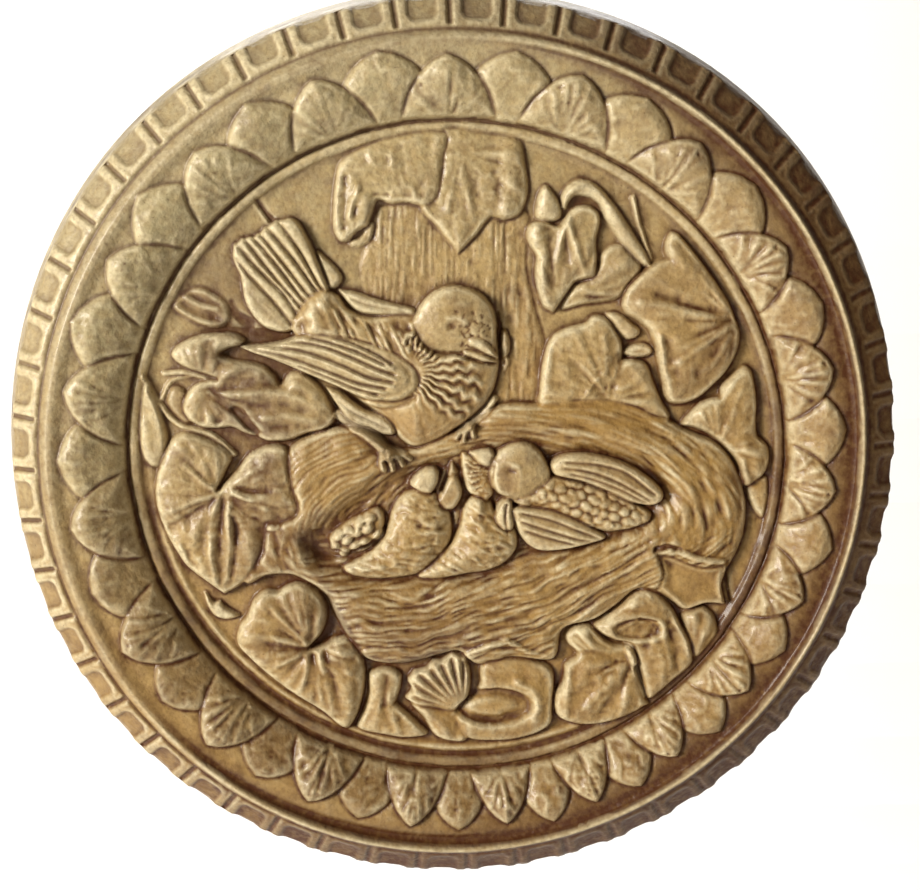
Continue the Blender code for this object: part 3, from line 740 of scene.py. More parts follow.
foliageInFront = {
    "leftIvyLeaf": {
        "rise": 4.0, "crown": 2.6, "spread": 8, "green": 0.25, "crinkle": 1.0, "fan": (-97, -15),
        "outline": [
            (-98, -13, 1), (-95, -6), (-92.5, 0), (-97, 5), (-104, 8.5), (-111, 10.5), (-116, 8), (-120, 1),
            (-123, -7), (-124, -17), (-121.5, -28), (-117, -38), (-112, -46), (-105, -52), (-97, -58, 1),
            (-90, -54), (-84, -47), (-80, -38), (-78.5, -28, 1), (-72, -27.5), (-66, -24.5), (-65, -20),
            (-67, -14), (-68.5, -6), (-69.5, 3), (-74, 5), (-80, 4), (-86, 0.5), (-91, -6),
        ],
        "folds": [
            ([(-99, -13), (-105, -9), (-111, -3)], 1.3, 1.5),
            ([(-101, -8), (-106, -3), (-109, 3)], 2.2, -0.8),
            ([(-98, -15), (-108, -18), (-120, -23)], 1.3, 1.2),
            ([(-99, -17), (-108, -22), (-118, -28)], 2.2, -1.5),
            ([(-98, -17), (-101, -26), (-101.5, -38), (-100, -52)], 1.2, 1.3),
            ([(-96, -18), (-97.5, -32), (-98.5, -44), (-97.5, -56)], 1.6, -1.7),
            ([(-94, -20), (-94, -34), (-95, -50)], 1.2, 1.1),
            ([(-91, -28), (-92, -42), (-95, -54)], 1.4, -1.5),
            ([(-93, -12), (-86, -10.5), (-79, -7)], 1.1, 0.9),
            ([(-92, -14), (-86, -17), (-79, -21)], 1.4, 1.7),
            ([(-90, -12), (-84, -14), (-77, -14)], 1.4, -1.0),
            ([(-92, -17), (-88, -23), (-82, -26)], 1.6, -1.2),
            ([(-107, -28), (-108, -38), (-105, -47)], 2.0, 0.9),
            ([(-114, -36), (-110, -45), (-103, -51)], 1.0, 1.1),
            ([(-72, 0), (-70, -10), (-68, -21)], 1.5, 0.7),
            ([(-86, -34), (-86, -44), (-89, -50)], 3.0, 1.0),
        ],
    },
    # The curled tip carries a painted highlight.
    "curledTip": {
        "rise": 2.4, "crown": 1.0, "spread": 2, "lip": 1.2, "pale": 0.75,
        "outline": [
            (-105.5, -57, 1), (-104, -63), (-101, -67.5), (-96, -69), (-91, -67.5, 1), (-94, -65.5),
            (-97, -63.5), (-99, -61, 1), (-101.5, -61.5),
        ],
    },
    "waistedLeaf": {
        "rise": 3.2, "crown": 1.8, "spread": 6, "green": 0.25, "crinkle": 0.8, "fan": (-31, -94),
        "outline": [
            (-38, -96), (-37.5, -92.5), (-33, -90.5), (-27, -91), (-24, -94), (-24.5, -100),
            (-26.5, -106, 1), (-22, -110), (-17, -115), (-13, -120.5), (-22, -122), (-31, -120.5),
            (-40, -118.5), (-43, -116), (-40, -109), (-38, -102),
        ],
        "folds": [
            ([(-34, -93), (-34, -103), (-36, -112)], 1.8, 0.8),
            ([(-30, -94), (-31, -105), (-30, -115)], 1.4, -1.0),
            ([(-25, -109), (-21, -113), (-17, -117)], 1.3, 0.9),
        ],
    },
    "rosetteLeaf": {
        "rise": 4.2, "crown": 3.0, "spread": 8, "green": 0.28, "crinkle": 1.0, "fan": (-62, -81),
        "outline": [
            (-62, -81, 1), (-57, -75), (-54.5, -67), (-56.5, -60), (-61, -55), (-67, -53), (-72, -54.5),
            (-75, -56.5, 1), (-80, -56), (-85, -60), (-88, -67, 1), (-91.5, -72), (-92.5, -79), (-88, -85),
            (-80, -93), (-70, -101), (-58, -109), (-48, -117), (-43.5, -113), (-40.5, -104), (-39, -93),
            (-41, -83), (-46, -77), (-52, -77), (-57, -80),
        ],
        "folds": [
            ([(-63, -79), (-69, -73), (-76, -65)], 1.2, 1.5),
            ([(-65, -77), (-70, -69), (-75, -60)], 2.2, -1.4),
            ([(-64, -77), (-66, -68), (-65, -58)], 1.2, 0.7), ([(-61, -76), (-60, -68)], 1.8, -0.9),
            ([(-64, -79.5), (-76, -76), (-88, -74)], 1.2, 1.0),
            ([(-64, -81), (-77, -79), (-90, -79)], 1.6, -1.5),
            ([(-65, -83), (-76, -87), (-83, -88)], 1.3, 1.0),
            ([(-65, -84), (-72, -92), (-76, -96)], 1.8, -0.9),
            ([(-63, -83), (-64, -92), (-68, -101)], 1.3, 1.2),
            ([(-61, -84), (-60, -96), (-60, -107)], 1.7, -1.5),
            ([(-58, -83), (-56, -95), (-53, -109)], 1.2, 0.9),
            ([(-56, -82), (-52, -96), (-49, -110)], 1.4, -1.1),
            ([(-50, -80), (-46, -92), (-46, -108)], 2.4, 1.0),
        ],
    },
    "fanStalk": {
        "rise": 2.8, "crown": 1.6, "spread": 5, "green": 0.15, "crinkle": 0.6,
        "outline": [
            (-20, -106), (-15, -113), (-10, -121), (-3, -124), (4, -123), (4, -114), (0, -108), (-8, -106),
        ],
        "folds": [
            ([(-14, -109), (-8, -115), (-4, -121)], 1.6, 0.9),
            ([(-8, -109), (-2, -114), (0, -120)], 1.5, -0.8),
        ],
    },
    "rolledLeaf": {
        "rise": 3.4, "crown": 1.8, "spread": 6, "green": 0.15, "crinkle": 0.7,
        "outline": [
            (9, -92), (11, -88.5), (16, -87), (24, -86.5), (32, -88), (38.5, -91), (40.5, -96), (40, -108),
            (39, -117), (30, -122), (16, -124), (4, -122.5), (-1, -114), (0, -107), (7, -102), (9, -98),
        ],
        "folds": [
            ([(25, -97), (31, -101), (33.5, -107), (32, -114)], 1.8, 1.5),
            ([(35, -94), (37, -102), (36, -114)], 2.0, -0.6),
            ([(12, -93), (20, -95), (28, -94)], 2.2, -0.5),
        ],
    },
    "pleatedFan": {
        "rise": 4.0, "crown": 1.8, "spread": 6, "pale": 0.1, "green": 0.1,
        "outline": [
            (-21.5, -96), (-19, -92, 1), (-14, -90.5), (-11, -87.5, 1), (-7, -87), (-3, -83.5, 1),
            (0, -84.5), (3, -86, 1), (5, -93), (5, -100), (3, -106), (-2, -109.5), (-10, -108), (-18, -107),
            (-22.5, -104), (-20, -100),
        ],
    },
    "lowerLobe": {
        "rise": 3.2, "crown": 2.4, "spread": 6, "green": 0.35, "pale": 0.05, "crinkle": 0.4,
        "fan": (60, -88),
        "outline": [
            (45, -77), (49, -73.5), (55, -73), (59, -76.5), (65, -81.5), (73, -83), (76, -90), (66, -94),
            (54, -90), (49, -84), (46, -81),
        ],
        "folds": [([(55, -77), (61, -82), (69, -84)], 1.4, -0.8)],
    },
    "hollowedLeaf": {
        "rise": 4.0, "crown": 2.2, "spread": 7, "green": 0.22, "umber": 0.14, "crinkle": 0.9,
        "fan": (84, -66),
        "outline": [
            (57, -73), (62, -69), (68, -64), (73, -59), (79, -57), (85, -60), (90, -66), (94, -73),
            (99, -82), (99, -90), (92, -97), (81, -106), (78.5, -100), (76, -91), (73, -82), (66, -80),
            (60, -77),
        ],
        "folds": [
            ([(91, -70), (95, -79), (97, -86)], 1.2, 1.2), ([(88, -72), (91, -82), (92, -91)], 1.7, -1.2),
            ([(83, -80), (86, -90), (86, -98)], 1.6, 1.0), ([(79, -82), (81, -92), (82, -101)], 1.8, -1.0),
            ([(72, -63), (79, -61), (85, -64)], 2.6, 1.2),
        ],
    },
    "lowerRightLeaf": {
        "rise": 4.0, "crown": 2.6, "spread": 8, "green": 0.12, "umber": 0.1, "crinkle": 1.0,
        "fan": (73, -87),
        "outline": [
            (45, -90), (49, -87, 1), (51, -84.5), (56, -83.5), (63, -85), (70, -86), (74, -91), (77, -99),
            (81, -108, 1), (72, -113), (60, -117), (49, -116.5), (42, -113), (40.5, -105), (43.5, -98),
            (44.5, -94),
        ],
        "veins": [[(71, -88), (64, -87), (57, -88)], [(71, -89), (63, -92), (56, -93)]],
        "folds": [
            ([(45, -93), (45, -102), (44.5, -111)], 2.0, 1.5),
            ([(49, -91), (49.5, -101), (49, -111)], 2.2, -1.1),
            ([(71, -90), (62, -98), (54, -108)], 1.8, 1.2),
            ([(72, -92), (67, -101), (60, -111)], 2.2, -1.3),
            ([(73, -94), (71, -104), (69, -112)], 1.8, 0.9),
            ([(66, -89), (57, -94), (52, -102)], 2.0, -1.0),
        ],
    },
    "rightRoundLeaf": {
        "rise": 3.0, "crown": 2.2, "spread": 7, "green": 0.12, "umber": 0.14, "crinkle": 0.5,
        "fan": (100, -88),
        "outline": [
            (94, -70), (98, -66.5), (103, -65.5), (107.5, -69), (109.5, -76), (105.5, -83), (100, -88),
            (97, -80),
        ],
        "folds": [([(99, -69), (102, -76), (101, -83)], 1.5, 0.7)],
    },
    "nestEdgeLeaf": {
        "rise": 4.4, "crown": 0.8, "spread": 4, "green": 0.08, "rim": 0.7, "dish": 0.6, "crinkle": 0.4,
        "outline": [
            (82, -42, 1), (88, -42.5), (94, -45), (102, -47.5), (111, -47, 1), (110.5, -55),
            (112.5, -65, 1), (104, -64.5), (95, -67), (89, -62), (83, -57, 1), (84.5, -50),
        ],
    },
}


def layFoliage(leaves):
    forms = {}
    for name, leaf in leaves.items():
        shape = {key: value for key, value in leaf.items() if key not in ("outline", "veins", "folds")}
        form = forms[name] = layForm(leaf["outline"], **shape)
        for line, width, tall in leaf.get("folds", []):
            # Deep folds are browner, and a little shallower than drawn.
            if tall < -0.9:
                layStroke(line, width, tall * 0.8, (1, 0.55), form, True, umber=0.2)
            else:
                layStroke(line, width, tall, (1, 0.55), form, True)
        layVeins(form, leaf.get("veins", []))
    print("foliage laid:", len(leaves), "forms")
    return forms


def layStems():
    layStroke([(70, 104), (72, 96), (75, 87), (78, 79)], 1.1, 1.8, (1, 0.8))
    layStroke([(-127, 33), (-120, 20), (-113, 13), (-101, 9), (-92, 1)], 1.5, 2.4, (0.8, 1), pale=0.2)
    layStroke([(-119, 34), (-110, 34.5), (-99, 31)], 1.2, 1.8, (0.8, 1), pale=0.2)
    layStroke([(-120, 24), (-116, 31), (-108, 33)], 1.0, 1.4, (1, 0.6))
    layStroke([(-80, 103), (-76, 97), (-72, 92)], 1.3, -1.6, (0.7, 1), soft=True, umber=0.8)
    layStroke([(-81, 101.5), (-77.5, 96.5), (-74, 91.5)], 0.9, 0.9, (0.7, 1), soft=True, pale=0.3)


def layLowerDetails(forms):
    layPleats(forms["pleatedFan"])
    sinkHollows(forms)
    layTwigs()
    poolGlazeAndShade()


def layPleats(fan):
    # Pleats spread over the fan at the foot of the nest.
    for i in range(8):
        a = math.radians(168 - 12 * i)
        far = 25 - 0.35 * abs(i - 3)
        for turn, width, tall in ((0, 1.0, 1.3), (6, 0.9, -1.1)):
            b = a - math.radians(turn)
            pleat = [(2 + away * math.cos(b), -110 + away * math.sin(b)) for away in (5, far)]
            layStroke(pleat, width, tall, (0.4, 1), fan, True)


def sinkHollows(forms):
    # An oval hollow with a low boss in it, in the rolled leaf.
    leaf = forms["rolledLeaf"]
    x, z, part = leaf["x"], leaf["z"], leaf["part"]
    oval = np.hypot((x - 15) / 16.5, (z + 108) / 8.2)
    boss = np.hypot((x - 14) / 11.5, (z + 108) / 4.6)
    height[part] -= 3.4 * smoothStep(1.1, 0.85, oval) * smoothStep(-0.5, 1, leaf["depth"])
    height[part] += 1.8 * smoothStep(1.15, 0.6, boss)
    # A ring with a slit above it, in the hollowed leaf.
    leaf = forms["hollowedLeaf"]
    oval = np.hypot((leaf["x"] - 75) / 11.5, (leaf["z"] + 74.5) / 5.2)
    height[leaf["part"]] -= 1.6 * smoothStep(1.0, 0.7, oval) - 0.7 * bump(oval - 1.05, 0.16)
    layStroke([(76, -70), (80, -70.5), (83, -71)], 1.0, -1.8, (1, 0.6), umber=0.9)


def layTwigs():
    # The raised folded edge between the two leaves at the lower right, with a painted highlight along it.
    layStroke([(72, -83), (74.5, -92), (79, -104)], 2.0, 2.6, (1, 0.5), pale=0.7)
    # A small rolled tip hangs below the leaf at the top.
    layStroke([(-35.5, 93), (-36.5, 89), (-39, 86.5), (-42, 86)], 2.0, 1.6, (1, 0.8))
    layStroke([(-33.2, 93), (-34.2, 88), (-37, 84.5)], 0.8, -0.9, (1, 0.6), soft=True, umber=0.4)
    # The loop and stub under the nest.
    layStroke([(3, -86), (8, -83), (14, -80), (20, -78)], 2.0, 2.0, (1, 0.8))
    layStroke([(22, -79), (28, -83), (38, -86)], 1.6, 1.4, (1, 0.5))
    # A dark stub hole and the stems by the nest's edge leaf.
    layStroke([(82, -40), (87, -38.5), (92, -40)], 1.6, -2.0, (1, 0.7), umber=0.8)
    layStroke([(92, -41), (100, -44), (110, -45.5)], 1.5, 1.8, (1, 0.9), pale=0.1)
    layStroke([(112.5, -46), (113, -55), (114.5, -63)], 1.0, -1.6, (1, 0.7), umber=0.6)


def poolGlazeAndShade():
    # Painted shadow, dark brown, lies in these hollows and beside forms on their sides away from the lamp,
    # together with glaze gathered there.
    for line, width, deep, shade in (
        ([(-98, 56), (-90, 51), (-78, 49.5), (-66, 50)], 2.6, -1.0, 0.65),
        ([(-63, -36), (-59, -40), (-53, -43)], 3.6, -1.8, 0.7),
        ([(108, 46), (98, 36), (92, 28)], 7.5, 0, 0.3),
        ([(-54.5, -60), (-53.5, -69), (-55, -78)], 2.2, -1.2, 0.8),
        ([(116, -8), (118, -28), (113, -48)], 3.6, -0.5, 0.55),
        ([(123, 8), (125, 20), (122, 34)], 2.6, -0.3, 0.45),
        ([(90, 30), (99, 36), (108, 46)], 6.5, 0, 0.5),
        ([(-98, 26), (-95, 22), (-91, 17)], 2.4, -0.4, 0.55),
        ([(-70, 33), (-72, 36), (-76, 31)], 2.4, 0, 0.55),
        ([(-90, 12), (-84, 14), (-70, 10)], 2.2, 0, 0.45),
        ([(-84, -79), (-74, -80), (-66, -82)], 3.0, 0, 0.45),
        ([(54, 63), (60, 64), (67, 63)], 2.2, -0.3, 0.5),
        ([(48, 102), (53, 102), (57, 98)], 1.8, -0.3, 0.6),
        ([(-36, 98), (-35, 100), (-33, 99)], 2.0, -0.4, 0.55),
        ([(88, -62), (92, -67), (97, -75)], 2.4, -0.3, 0.4),
    ):
        layStroke(line, width, deep, (1, 0.8), soft=True, umber=shade)
    # The torn slit in the oak leaf.
    layForm(
        [(-92, 20), (-88, 20), (-81, 11), (-82, 8.5), (-87, 13)],
        -2.2, 0.2, 2, 1.4, onTop=True, umber=0.5,
    )


nest = {
    "centre": (16, -30), "reach": (88, 50), "strands": 330,
    "outline": [
        (-70, 2), (-66, 6), (-60, 9), (-50, 12), (-40, 11.5), (-33, 8), (-27, 3), (-20, 3), (-8, 8),
        (5, 13), (15, 20), (24, 21.5), (34, 21), (46, 22), (58, 22.5), (70, 20.5), (80, 16), (86, 14.5),
        (92, 11), (99, 8), (106, 5), (112, -1), (117, -10), (120, -22), (119, -36), (113, -50), (108, -60),
        (96, -66), (84, -60), (75, -58), (66, -65), (57, -71), (44, -75), (40, -88), (22, -87), (8, -90),
        (0, -84), (-10, -86), (-24, -89), (-38, -87), (-46, -78), (-52, -66), (-56, -58), (-63, -53),
        (-70, -50), (-80, -50.5), (-87, -54), (-91, -50), (-88, -40), (-83, -28), (-75, -12),
    ],
    "hollow": [
        (-62, -38), (-60, -30), (-50, -22), (-40, -14), (-30, -8), (-18, -2), (0, 3), (14, 5), (28, 8),
        (42, 5), (56, 4), (70, 0), (82, -6), (88, -16), (84, -26), (70, -34), (56, -40), (40, -43),
        (28, -47), (12, -52), (-8, -54), (-30, -55), (-48, -52), (-60, -46),
    ],
}


def layNest():
    form = layForm(nest["outline"], 4.4, 3.2, 13, 2.6, crease=0.7, straw=1.0)
    part, x, z = form["part"], form["x"], form["z"]
    basin = smoothStep(-5.0, 6.0, insideDistance(smoothLine(nest["hollow"]), x, z))
    height[part] -= 5.6 * basin
    paint["umber"][part] += 0.35 * basin
    straws, furrows = strewStraw(form)
    u, v = ((value - middle) / wide for value, middle, wide in zip((x, z), nest["centre"], nest["reach"]))
    angle, size = np.arctan2(v, u), np.hypot(u, v)
    wander = 0.9 * cloud(x / 16, z / 16, 12)
    comb = cloud(size * 30 + wander, angle * 6, 3) + 0.7 * cloud(size * 62 + 2 * wander, angle * 10, 5) - 0.85
    tuft = cloud(size * 11 + wander, angle * 2.4, 13) - 0.5
    inside = smoothStep(0.4, 3.0, form["depth"])
    # Lower down the straw sweeps up to the right.
    across = z - 0.06 * x - 0.0022 * (x + 50) ** 2
    across = across + 5 * cloud(x / 26, z / 14, 22) + 2.2 * cloud(x / 8, z / 6, 44)
    cross = 1.25 * (cloud(across / 0.9, x / 7, 20) + 0.9 * cloud(across / 2.6, x / 13, 21) - 0.95)
    low = smoothStep(-24, -50, z) * smoothStep(-72, -54, x)
    comb = comb * (1 - 0.8 * low) + 0.9 * cross * low
    # Even curved lines cover the mound at the left.
    away = np.hypot(x + 34, z + 36) + 2.4 * cloud(x / 8, z / 8, 24)
    arcs = 0.14 * np.sin(math.tau * away / 2.2) + 0.5 * (cloud(away / 1.2, angle * 7, 25) - 0.5)
    mound = smoothStep(-34, -42, x) * smoothStep(-34, -24, z)
    comb = comb * (1 - 0.85 * mound) + arcs * mound
    low = np.maximum(low, mound)
    straws, furrows = straws * (1 - 0.7 * low), furrows * (1 - 0.7 * low)
    height[part] += (0.35 * straws - 0.45 * furrows + 1.3 * comb + 1.3 * tuft * (1 - 0.6 * low)) * inside
    paint["umber"][part] += np.clip(-0.6 * comb - 0.5 * tuft - 0.15, 0, 0.3) * inside
    # Painted shadow, dark brown, fills the gaps along the nest's lower left edge and under the old bird's
    # tail, with glaze gathered there.
    for gap, width, deep, brown in (
        ([(-61, -47), (-55.2, -54.3), (-50, -67), (-43.2, -82)], 3.0, 0, 0.8),
        ([(-43, -82), (-33, -86.3), (-20, -86.8), (-6, -82.8)], 2.2, 0, 0.8),
        ([(-103, 51.2), (-94, 51.6), (-84, 51), (-74, 49.5), (-67, 50.5)], 2.4, -0.9, 0.75),
        ([(-91.2, 63), (-89.4, 58), (-84.5, 54)], 3.0, -0.9, 0.8),
    ):
        layStroke(gap, width, deep, (0.4, 1), umber=brown)
    print("nest woven")


def strewStraw(form):
    # Straw lies round the bowl, each strand a little off the sweep of its neighbours.
    random = np.random.default_rng(23)
    straws, furrows = np.zeros_like(form["x"]), np.zeros_like(form["x"])
    for _ in range(nest["strands"] // (1)):
        size, start = random.uniform(0.5, 1.28), random.uniform(0, math.tau)
        sweep, drift = random.uniform(0.25, 0.75) / size, random.uniform(-0.06, 0.06)
        width = random.uniform(0.5, 1.1)
        points = []
        for t in (0, 0.25, 0.5, 0.75, 1):
            a, s = start + sweep * t, size + drift * (t - 0.5) + 0.02 * math.sin(5 * t + start)
            points.append([
                middle + wide * s * way
                for middle, wide, way in zip(nest["centre"], nest["reach"], (math.cos(a), math.sin(a)))
            ])
        line = np.array(points)
        shared = overlap(form["part"], window(line, 2.5))
        if not shared:
            continue
        inner = shared[0]
        gap, along = strokeDistance(line, form["x"][inner], form["z"][inner])
        fade = np.sin(np.clip(along, 0.02, 0.98) * math.pi) ** 0.5
        profile = np.clip(1 - (gap / width) ** 2, 0, 1) * fade
        straws[inner] = np.maximum(straws[inner], profile * random.uniform(0.5, 1.5))
        if random.random() < 0.28:
            furrows[inner] = np.maximum(furrows[inner], bump(gap, 0.6) * fade)
    return straws, furrows


tailEdges = [
    [(-87, 73), (-85, 62), (-79, 53.5), (-71, 50.5), (-65, 52)],
    [(-90, 81), (-84, 74), (-74, 63), (-65, 52)],
    [(-88.5, 86), (-80, 76), (-70, 66), (-64, 57)],
    [(-85, 88), (-76, 76), (-66, 64), (-62, 60)],
    [(-81.5, 88.5), (-72, 77), (-64, 66), (-60, 62)],
    [(-79, 90), (-69.5, 78), (-62, 68), (-58, 64)],
    [(-76, 92.5), (-66, 80.5), (-58, 69), (-55, 66)],
    [(-71.5, 95), (-63, 83), (-56, 70), (-53, 67)],
    [(-65, 95.5), (-60, 88), (-56.5, 80), (-52, 68)],
]


def layRuffle(form, centre, gap, width, tall, seed):
    # Soft feathers lie in rows round a centre, each one lifting towards its rounded tip.
    x, z = form["x"], form["z"]
    away = np.hypot(x - centre[0], z - centre[1])
    angle = np.arctan2(z - centre[1], x - centre[0])
    row = away / gap + 2.2 * (cloud(x / 7, z / 7, seed) - 0.5)
    row = row + 0.9 * (cloud(x / 2.8, z / 2.8, seed + 1) - 0.5)
    index = np.floor(row)
    place = angle * (index + 0.5) * gap / width + 0.5 * (index % 2)
    place = place + 1.8 * (cloud(x / 5, z / 5, seed + 2) - 0.5)
    side = 2 * np.abs(place % 1 - 0.5)
    tip = 1 - 0.4 * side**2
    along = (row - index) / tip
    lift = np.where(along < 1, np.clip(along, 0, 1) ** 1.6, 0.1)
    size = tall * (0.35 + 1.1 * cloud(x / 7, z / 7, seed + 3))
    cover = smoothStep(0.6, 2.6, form["depth"])
    height[form["part"]] += size * (lift - 0.4) * cover
    paint["umber"][form["part"]] += 0.3 * np.where(along < 1, 0, 1) * cover


def layTail():
    for k in range(len(tailEdges) - 1):
        lower, upper = tailEdges[k], tailEdges[k + 1]
        outline = [tuple(p) for p in lower] + [tuple(p) for p in reversed(upper)]
        outline[0] = (*outline[0], 1)
        wide = k == 0
        form = layForm(
            outline, 2.6 + 0.28 * k, 1.5, 4.0 if wide else 2.0, 1.1, crease=0.7, green=0.35,
            pale=0.1 + 0.05 * (k % 2), roundness=0.8,
        )
        middle = [((a[0] + b[0]) / 2, (a[1] + b[1]) / 2) for a, b in zip(lower, upper)]
        layStroke(middle, 0.6, -0.4 if wide else 0.35, (1, 0.5), form, True)


def layParentBird():
    layForm(
        [(-57, 83), (-53, 80.5), (-48.5, 76), (-46.5, 72), (-49, 68.5), (-52, 68), (-54, 73)],
        2.2, 1.8, 4, 1.5, green=0.3, pale=0.1,
    )
    layTail()
    farWing = layForm(
        [
            (-48, 67.5, 1), (-42, 67), (-36, 65), (-28, 62.5), (-18, 60), (-18, 56), (-28, 57), (-38, 58),
            (-43, 61),
        ],
        4.2, 1.6, 3, 1.4, green=0.3, pale=0.25,
    )
    layStroke([(-45, 65), (-36, 61.5), (-22, 59)], 0.7, -1.0, (1, 0.6), farWing, True)
    layBirdBody()
    layBirdHead()
    # Two small curls where the neck meets the back.
    for curl in (
        [(-22, 47), (-20.5, 50), (-17.5, 50), (-17.5, 47)],
        [(-17, 44.5), (-14, 43.5), (-12.5, 41), (-15, 39.5)],
    ):
        layStroke(curl, 1.1, 1.2, (1, 0.7))
        layStroke(np.array(curl) + (0.6, -1.3), 0.7, -0.8, (1, 0.6), soft=True, umber=0.3)
    # A small leaf stands close behind the beak, with a dark gap between.
    layForm(
        [(17, 50), (19.2, 51), (20.8, 47), (20.6, 42), (18.6, 40.5), (17.2, 44)],
        2.6, 1.2, 2, 1.2, crease=0.7, umber=0.2,
    )
    layStroke([(18.8, 41), (19.8, 38), (18.6, 35)], 1.0, 1.8, (1, 0.6))
    layStroke([(15.8, 58), (17.2, 52), (16.8, 45), (16.6, 39)], 0.9, -1.6, (1, 0.7), umber=0.8)
    layNearWing()
    layLegs()
    print("parent bird laid")


def layBirdBody():
    body = layForm(
        [
            (-67, 51), (-65, 58), (-61, 64), (-55, 68), (-49, 66), (-44, 60), (-36, 57), (-26, 58),
            (-19, 58), (0, 60), (14, 52), (16.5, 42), (16, 33), (13, 24), (6, 16), (-4, 9), (-12, 5),
            (-19, 3.5), (-25, 8), (-30, 15), (-42, 24), (-58, 38),
        ],
        3.6, 6.6, 19, 2.0, roundness=0.75, crease=0.8, straw=0.25,
    )
    # Short wavy feathers fan out over the breast from the wing's shoulder, finer towards the belly.
    x, z, part = body["x"], body["z"], body["part"]
    inside = smoothStep(0.8, 3.5, body["depth"])
    away, turn = np.hypot(x + 21, z - 36), np.arctan2(z - 36, x + 21)
    bend = 0.8 * np.sin(1.05 * away + 3 * turn + 3 * cloud(x / 8, z / 8, 35))
    bend = bend + 2.5 * cloud(x / 8, z / 8, 36)
    waves = np.sin(31 * turn + bend) * (0.15 + 0.7 * cloud(x / 3, z / 3, 37)) * smoothStep(4, 12, away)
    breast = smoothStep(-22, -17, x) * smoothStep(13, 4, x) * (0.15 + 0.85 * smoothStep(12, 22, z + 0.4 * x))
    # On the back they stand in short bristles, and swell into soft bumps by the tail.
    bristles = cloud(x / 1.2 + 0.4 * z, z / 4.5 + cloud(x / 4, z / 4, 41), 42) - 0.5
    bumps = cloud(x / 4.5, z / 4.5, 43) - 0.5
    back = smoothStep(-12, -20, x) * smoothStep(38, 46, z + 0.25 * x + 8)
    tail = smoothStep(-46, -56, x)
    plumage = 1.9 * bristles * (1 - 0.7 * tail) + 2.6 * bumps * (0.3 + 0.7 * tail)
    rough = 2.0 * waves * breast + back * plumage
    height[part] += rough * inside
    paint["umber"][part] += np.clip(-0.5 * rough, 0, 0.35) * inside
    paint["pale"][part] += np.clip(0.3 * rough, 0, 0.3) * inside
    for inset in (2.6, 5.4):
        contour = bump(body["depth"] - inset, 0.8) * smoothStep(26, 14, z) * smoothStep(14, 2, x)
        height[part] -= 0.3 * contour


def layBirdHead():
    random = np.random.default_rng(5)
    head = layForm(
        [
            (-18.5, 54), (-16, 61), (-11, 66.5), (-4, 69.3), (3, 68.7), (9.5, 65.8), (14, 60), (15.5, 53),
            (15, 46), (12.5, 40.5), (3, 41.6), (-8, 42), (-15, 46),
        ],
        6.2, 4.6, 14, 2.2, roundness=0.75, crease=0.5, green=0.22, crinkle=0.55,
    )
    # Small pits pepper the face round the eye.
    for _ in range(46):
        spot = np.array((5.5, 51)) + random.normal(0, 1, 2) * (4.0, 4.2)
        line = np.vstack((spot, spot + random.uniform(-0.9, 0.9, 2)))
        layStroke(line, 0.5, -0.55, (1, 0.7), head, umber=0.85)
    layForm(
        [(4, 48.6), (7.5, 48.8), (12, 45.8), (16, 40.2, 1), (11, 42.2), (7, 44.4), (3.6, 46)],
        9.8, 0.9, 2.5, 1.3, crease=0.5, pale=0.25,
    )
    layForm(
        [(2, 43.6), (7, 43), (12, 40.8), (15.4, 38.6, 1), (10, 38.8), (5, 40.2), (2, 41.4)],
        8.6, 0.8, 2, 1.3, crease=0.5, pale=0.1,
    )
    layStroke([(-9.5, 42.6), (-2, 42.4), (4, 40.6), (9, 38.8), (15, 37.6)], 0.8, -1.5, (0.8, 1), umber=0.8)
    layStroke([(-5, 56.5), (-1, 56.8), (2, 55.6)], 0.8, 0.5, (1, 0.6), head, True, pale=0.3)
    layEye((-3.2, 53.2), 1.7)


def layEye(centre, radius):
    turn = np.radians(np.arange(0, 361, 30))
    ring = np.column_stack((centre[0] + radius * np.cos(turn), centre[1] + radius * 0.75 * np.sin(turn)))
    layStroke(ring, 0.55, -0.5, (1, 0.4), soft=True, umber=0.3)
    dot = np.array([centre, (centre[0] + 0.6, centre[1] - 0.2)])
    layStroke(dot, radius * 0.5, -0.8, (1, 0.8), soft=True, umber=0.9)


def layFeathers(feathers, wing, ends, groove, beside, edge):
    # Each feather is a dark groove with a raised edge beside it.
    deep, brown = groove
    width, tall, pale = edge
    for feather in feathers:
        line = smoothLine(feather, closed=False)
        layStroke(line, 0.75, deep, ends, wing, True, umber=brown)
        layStroke(line + beside, width, tall, ends, wing, True, **({"pale": pale} if pale else {}))


